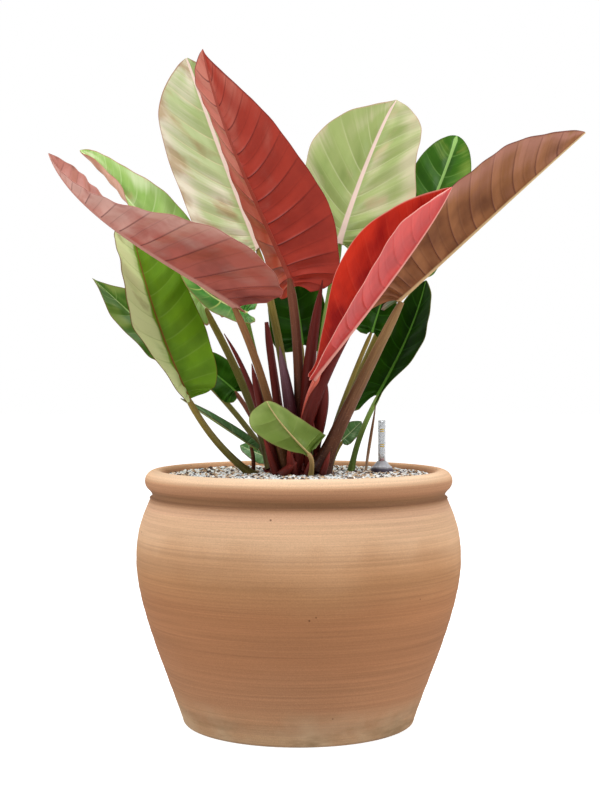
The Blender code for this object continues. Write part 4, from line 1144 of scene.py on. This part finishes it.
def seen_by(tree, *rays):
    """1 for the camera's rays and for these kinds of ray, 0 for all others."""
    path = add(tree, "LightPath")
    seen = path.outputs["Is Camera Ray"]
    for ray in rays:
        seen = add(tree, "Math", (seen, path.outputs[ray]), operation="MAXIMUM")
    return seen


def make_stage(size):
    """Pale floor, white surroundings, three soft lamps and the camera."""
    scene = bpy.context.scene
    scene.view_settings.view_transform = "Standard"

    def put(name, data, place, turn=(0.0, 0.0, 0.0)):
        made = bpy.data.objects.new(name, data)
        made.location = place
        made.rotation_euler = turn
        scene.collection.objects.link(made)
        return made

    bm = bmesh.new()
    bmesh.ops.create_grid(bm, x_segments=1, y_segments=1, size=12.0)
    mesh = to_mesh(bm, "studio_floor")
    material, tree = new_material("painted studio floor, white")
    paint = add(tree, "BsdfDiffuse", {"Color": tuple(size.floor_colour)})
    # the camera sees it brighter than the lamps make it, as an even white with a soft shadow
    lift = add(tree, "Math", (seen_by(tree, "Is Transmission Ray"), 0.74), operation="MULTIPLY")
    glow = add(tree, "Emission", {"Strength": lift})
    add(tree, "OutputMaterial", (add(tree, "AddShader", (paint, glow)),))
    mesh.materials.append(material)
    # a hair below the pot's foot
    put("studio_floor", mesh, (0.0, 0.0, -0.0002))

    world = bpy.data.worlds.new("studio")
    world.use_nodes = True
    tree = world.node_tree
    tree.nodes.clear()
    seen = seen_by(tree, "Is Glossy Ray", "Is Transmission Ray")
    strength = add(tree, "MapRange", (seen, None, None, size.world, 1.0))
    sky = add(tree, "Background", {"Color": "#FFFFFF", "Strength": strength})
    add(tree, "OutputWorld", (sky,))
    scene.world = world

    target = Vector((0.0, 0.0, 0.42))
    for name, place, power, wide in LAMPS:
        lamp = bpy.data.lights.new(name, "AREA")
        lamp.energy = power
        lamp.shape = "DISK"
        lamp.size = wide
        put(name, lamp, place, (target - Vector(place)).to_track_quat("-Z", "Y").to_euler())

    lens = bpy.data.cameras.new("camera")
    lens.lens = size.lens
    scene.camera = put("camera", lens, size.camera, (math.radians(90.0 - size.tilt), 0.0, 0.0))


# ---- operators
class PLANTER_OT_pot(bpy.types.Operator):
    """Build the terracotta pot"""
    bl_idname = "planter.pot"
    bl_label = "Pot"

    def execute(self, context):
        make_pot(context.scene.planter_pot)
        return {"FINISHED"}


class PLANTER_OT_granulate(bpy.types.Operator):
    """Strew the mineral grains"""
    bl_idname = "planter.granulate"
    bl_label = "Granulate"

    def execute(self, context):
        make_granulate(context.scene.planter_grains)
        return {"FINISHED"}


class PLANTER_OT_gauge(bpy.types.Operator):
    """Build the water gauge's tube, cone, collar and marks"""
    bl_idname = "planter.gauge"
    bl_label = "Water gauge"

    def execute(self, context):
        make_gauge()
        return {"FINISHED"}


class PLANTER_OT_float(bpy.types.Operator):
    """Build the gauge's float"""
    bl_idname = "planter.float"
    bl_label = "Float"

    def execute(self, context):
        make_float()
        return {"FINISHED"}


class PLANTER_OT_crown(bpy.types.Operator):
    """Build the woody crown and its scales"""
    bl_idname = "planter.crown"
    bl_label = "Crown"

    def execute(self, context):
        make_crown()
        return {"FINISHED"}


class PLANTER_OT_stalks(bpy.types.Operator):
    """Build the petioles"""
    bl_idname = "planter.stalks"
    bl_label = "Petioles"

    def execute(self, context):
        for leaf in LEAVES:
            make_stalk(leaf)
        return {"FINISHED"}


class PLANTER_OT_sheaths(bpy.types.Operator):
    """Build the pointed sheaths"""
    bl_idname = "planter.sheaths"
    bl_label = "Sheaths"

    def execute(self, context):
        for sheath in SHEATHS:
            make_sheath(*sheath[:2], *mm(sheath[2:]))
        return {"FINISHED"}


class PLANTER_OT_blades(bpy.types.Operator):
    """Build the leaf blades"""
    bl_idname = "planter.blades"
    bl_label = "Leaf blades"

    def execute(self, context):
        for seed, leaf in enumerate(LEAVES):
            make_blade(leaf, context.scene.planter_blades, seed * 3.7)
        return {"FINISHED"}


class PLANTER_OT_stage(bpy.types.Operator):
    """Set up the floor, the lamps and the camera"""
    bl_idname = "planter.stage"
    bl_label = "Studio"

    def execute(self, context):
        make_stage(context.scene.planter_stage)
        return {"FINISHED"}


class PLANTER_PT_panel(bpy.types.Panel):
    """Buttons for the parts of the planter"""
    bl_label = "Potted philodendron"
    bl_idname = "PLANTER_PT_panel"
    bl_space_type = "VIEW_3D"
    bl_region_type = "UI"
    bl_category = "Planter"

    def draw(self, context):
        for operator in OPERATORS:
            self.layout.operator(operator.bl_idname)
        for group in SETTINGS:
            box = self.layout.box()
            for key in SETTINGS[group].__annotations__:
                box.prop(getattr(context.scene, group), key)


OPERATORS = (PLANTER_OT_pot, PLANTER_OT_granulate, PLANTER_OT_gauge, PLANTER_OT_float,
             PLANTER_OT_crown, PLANTER_OT_stalks, PLANTER_OT_sheaths, PLANTER_OT_blades,
             PLANTER_OT_stage)
SETTINGS = {"planter_pot": PotSettings, "planter_blades": BladeSettings,
            "planter_grains": GrainSettings, "planter_stage": StageSettings}


def register():
    """Register the settings, the operators and the panel."""
    for group in SETTINGS:
        bpy.utils.register_class(SETTINGS[group])
        setattr(bpy.types.Scene, group, PointerProperty(type=SETTINGS[group]))
    for operator in OPERATORS:
        bpy.utils.register_class(operator)
    bpy.utils.register_class(PLANTER_PT_panel)


def unregister():
    """Take back what register did."""
    bpy.utils.unregister_class(PLANTER_PT_panel)
    for operator in OPERATORS:
        bpy.utils.unregister_class(operator)
    for group in SETTINGS:
        delattr(bpy.types.Scene, group)
        bpy.utils.unregister_class(SETTINGS[group])


def main():
    """Build every piece."""
    register()
    bpy.ops.planter.pot()
    bpy.ops.planter.granulate()
    bpy.ops.planter.gauge()
    bpy.ops.planter.float()
    bpy.ops.planter.crown()
    bpy.ops.planter.stalks()
    bpy.ops.planter.sheaths()
    bpy.ops.planter.blades()
    bpy.ops.planter.stage()


if __name__ == "__main__":
    main()
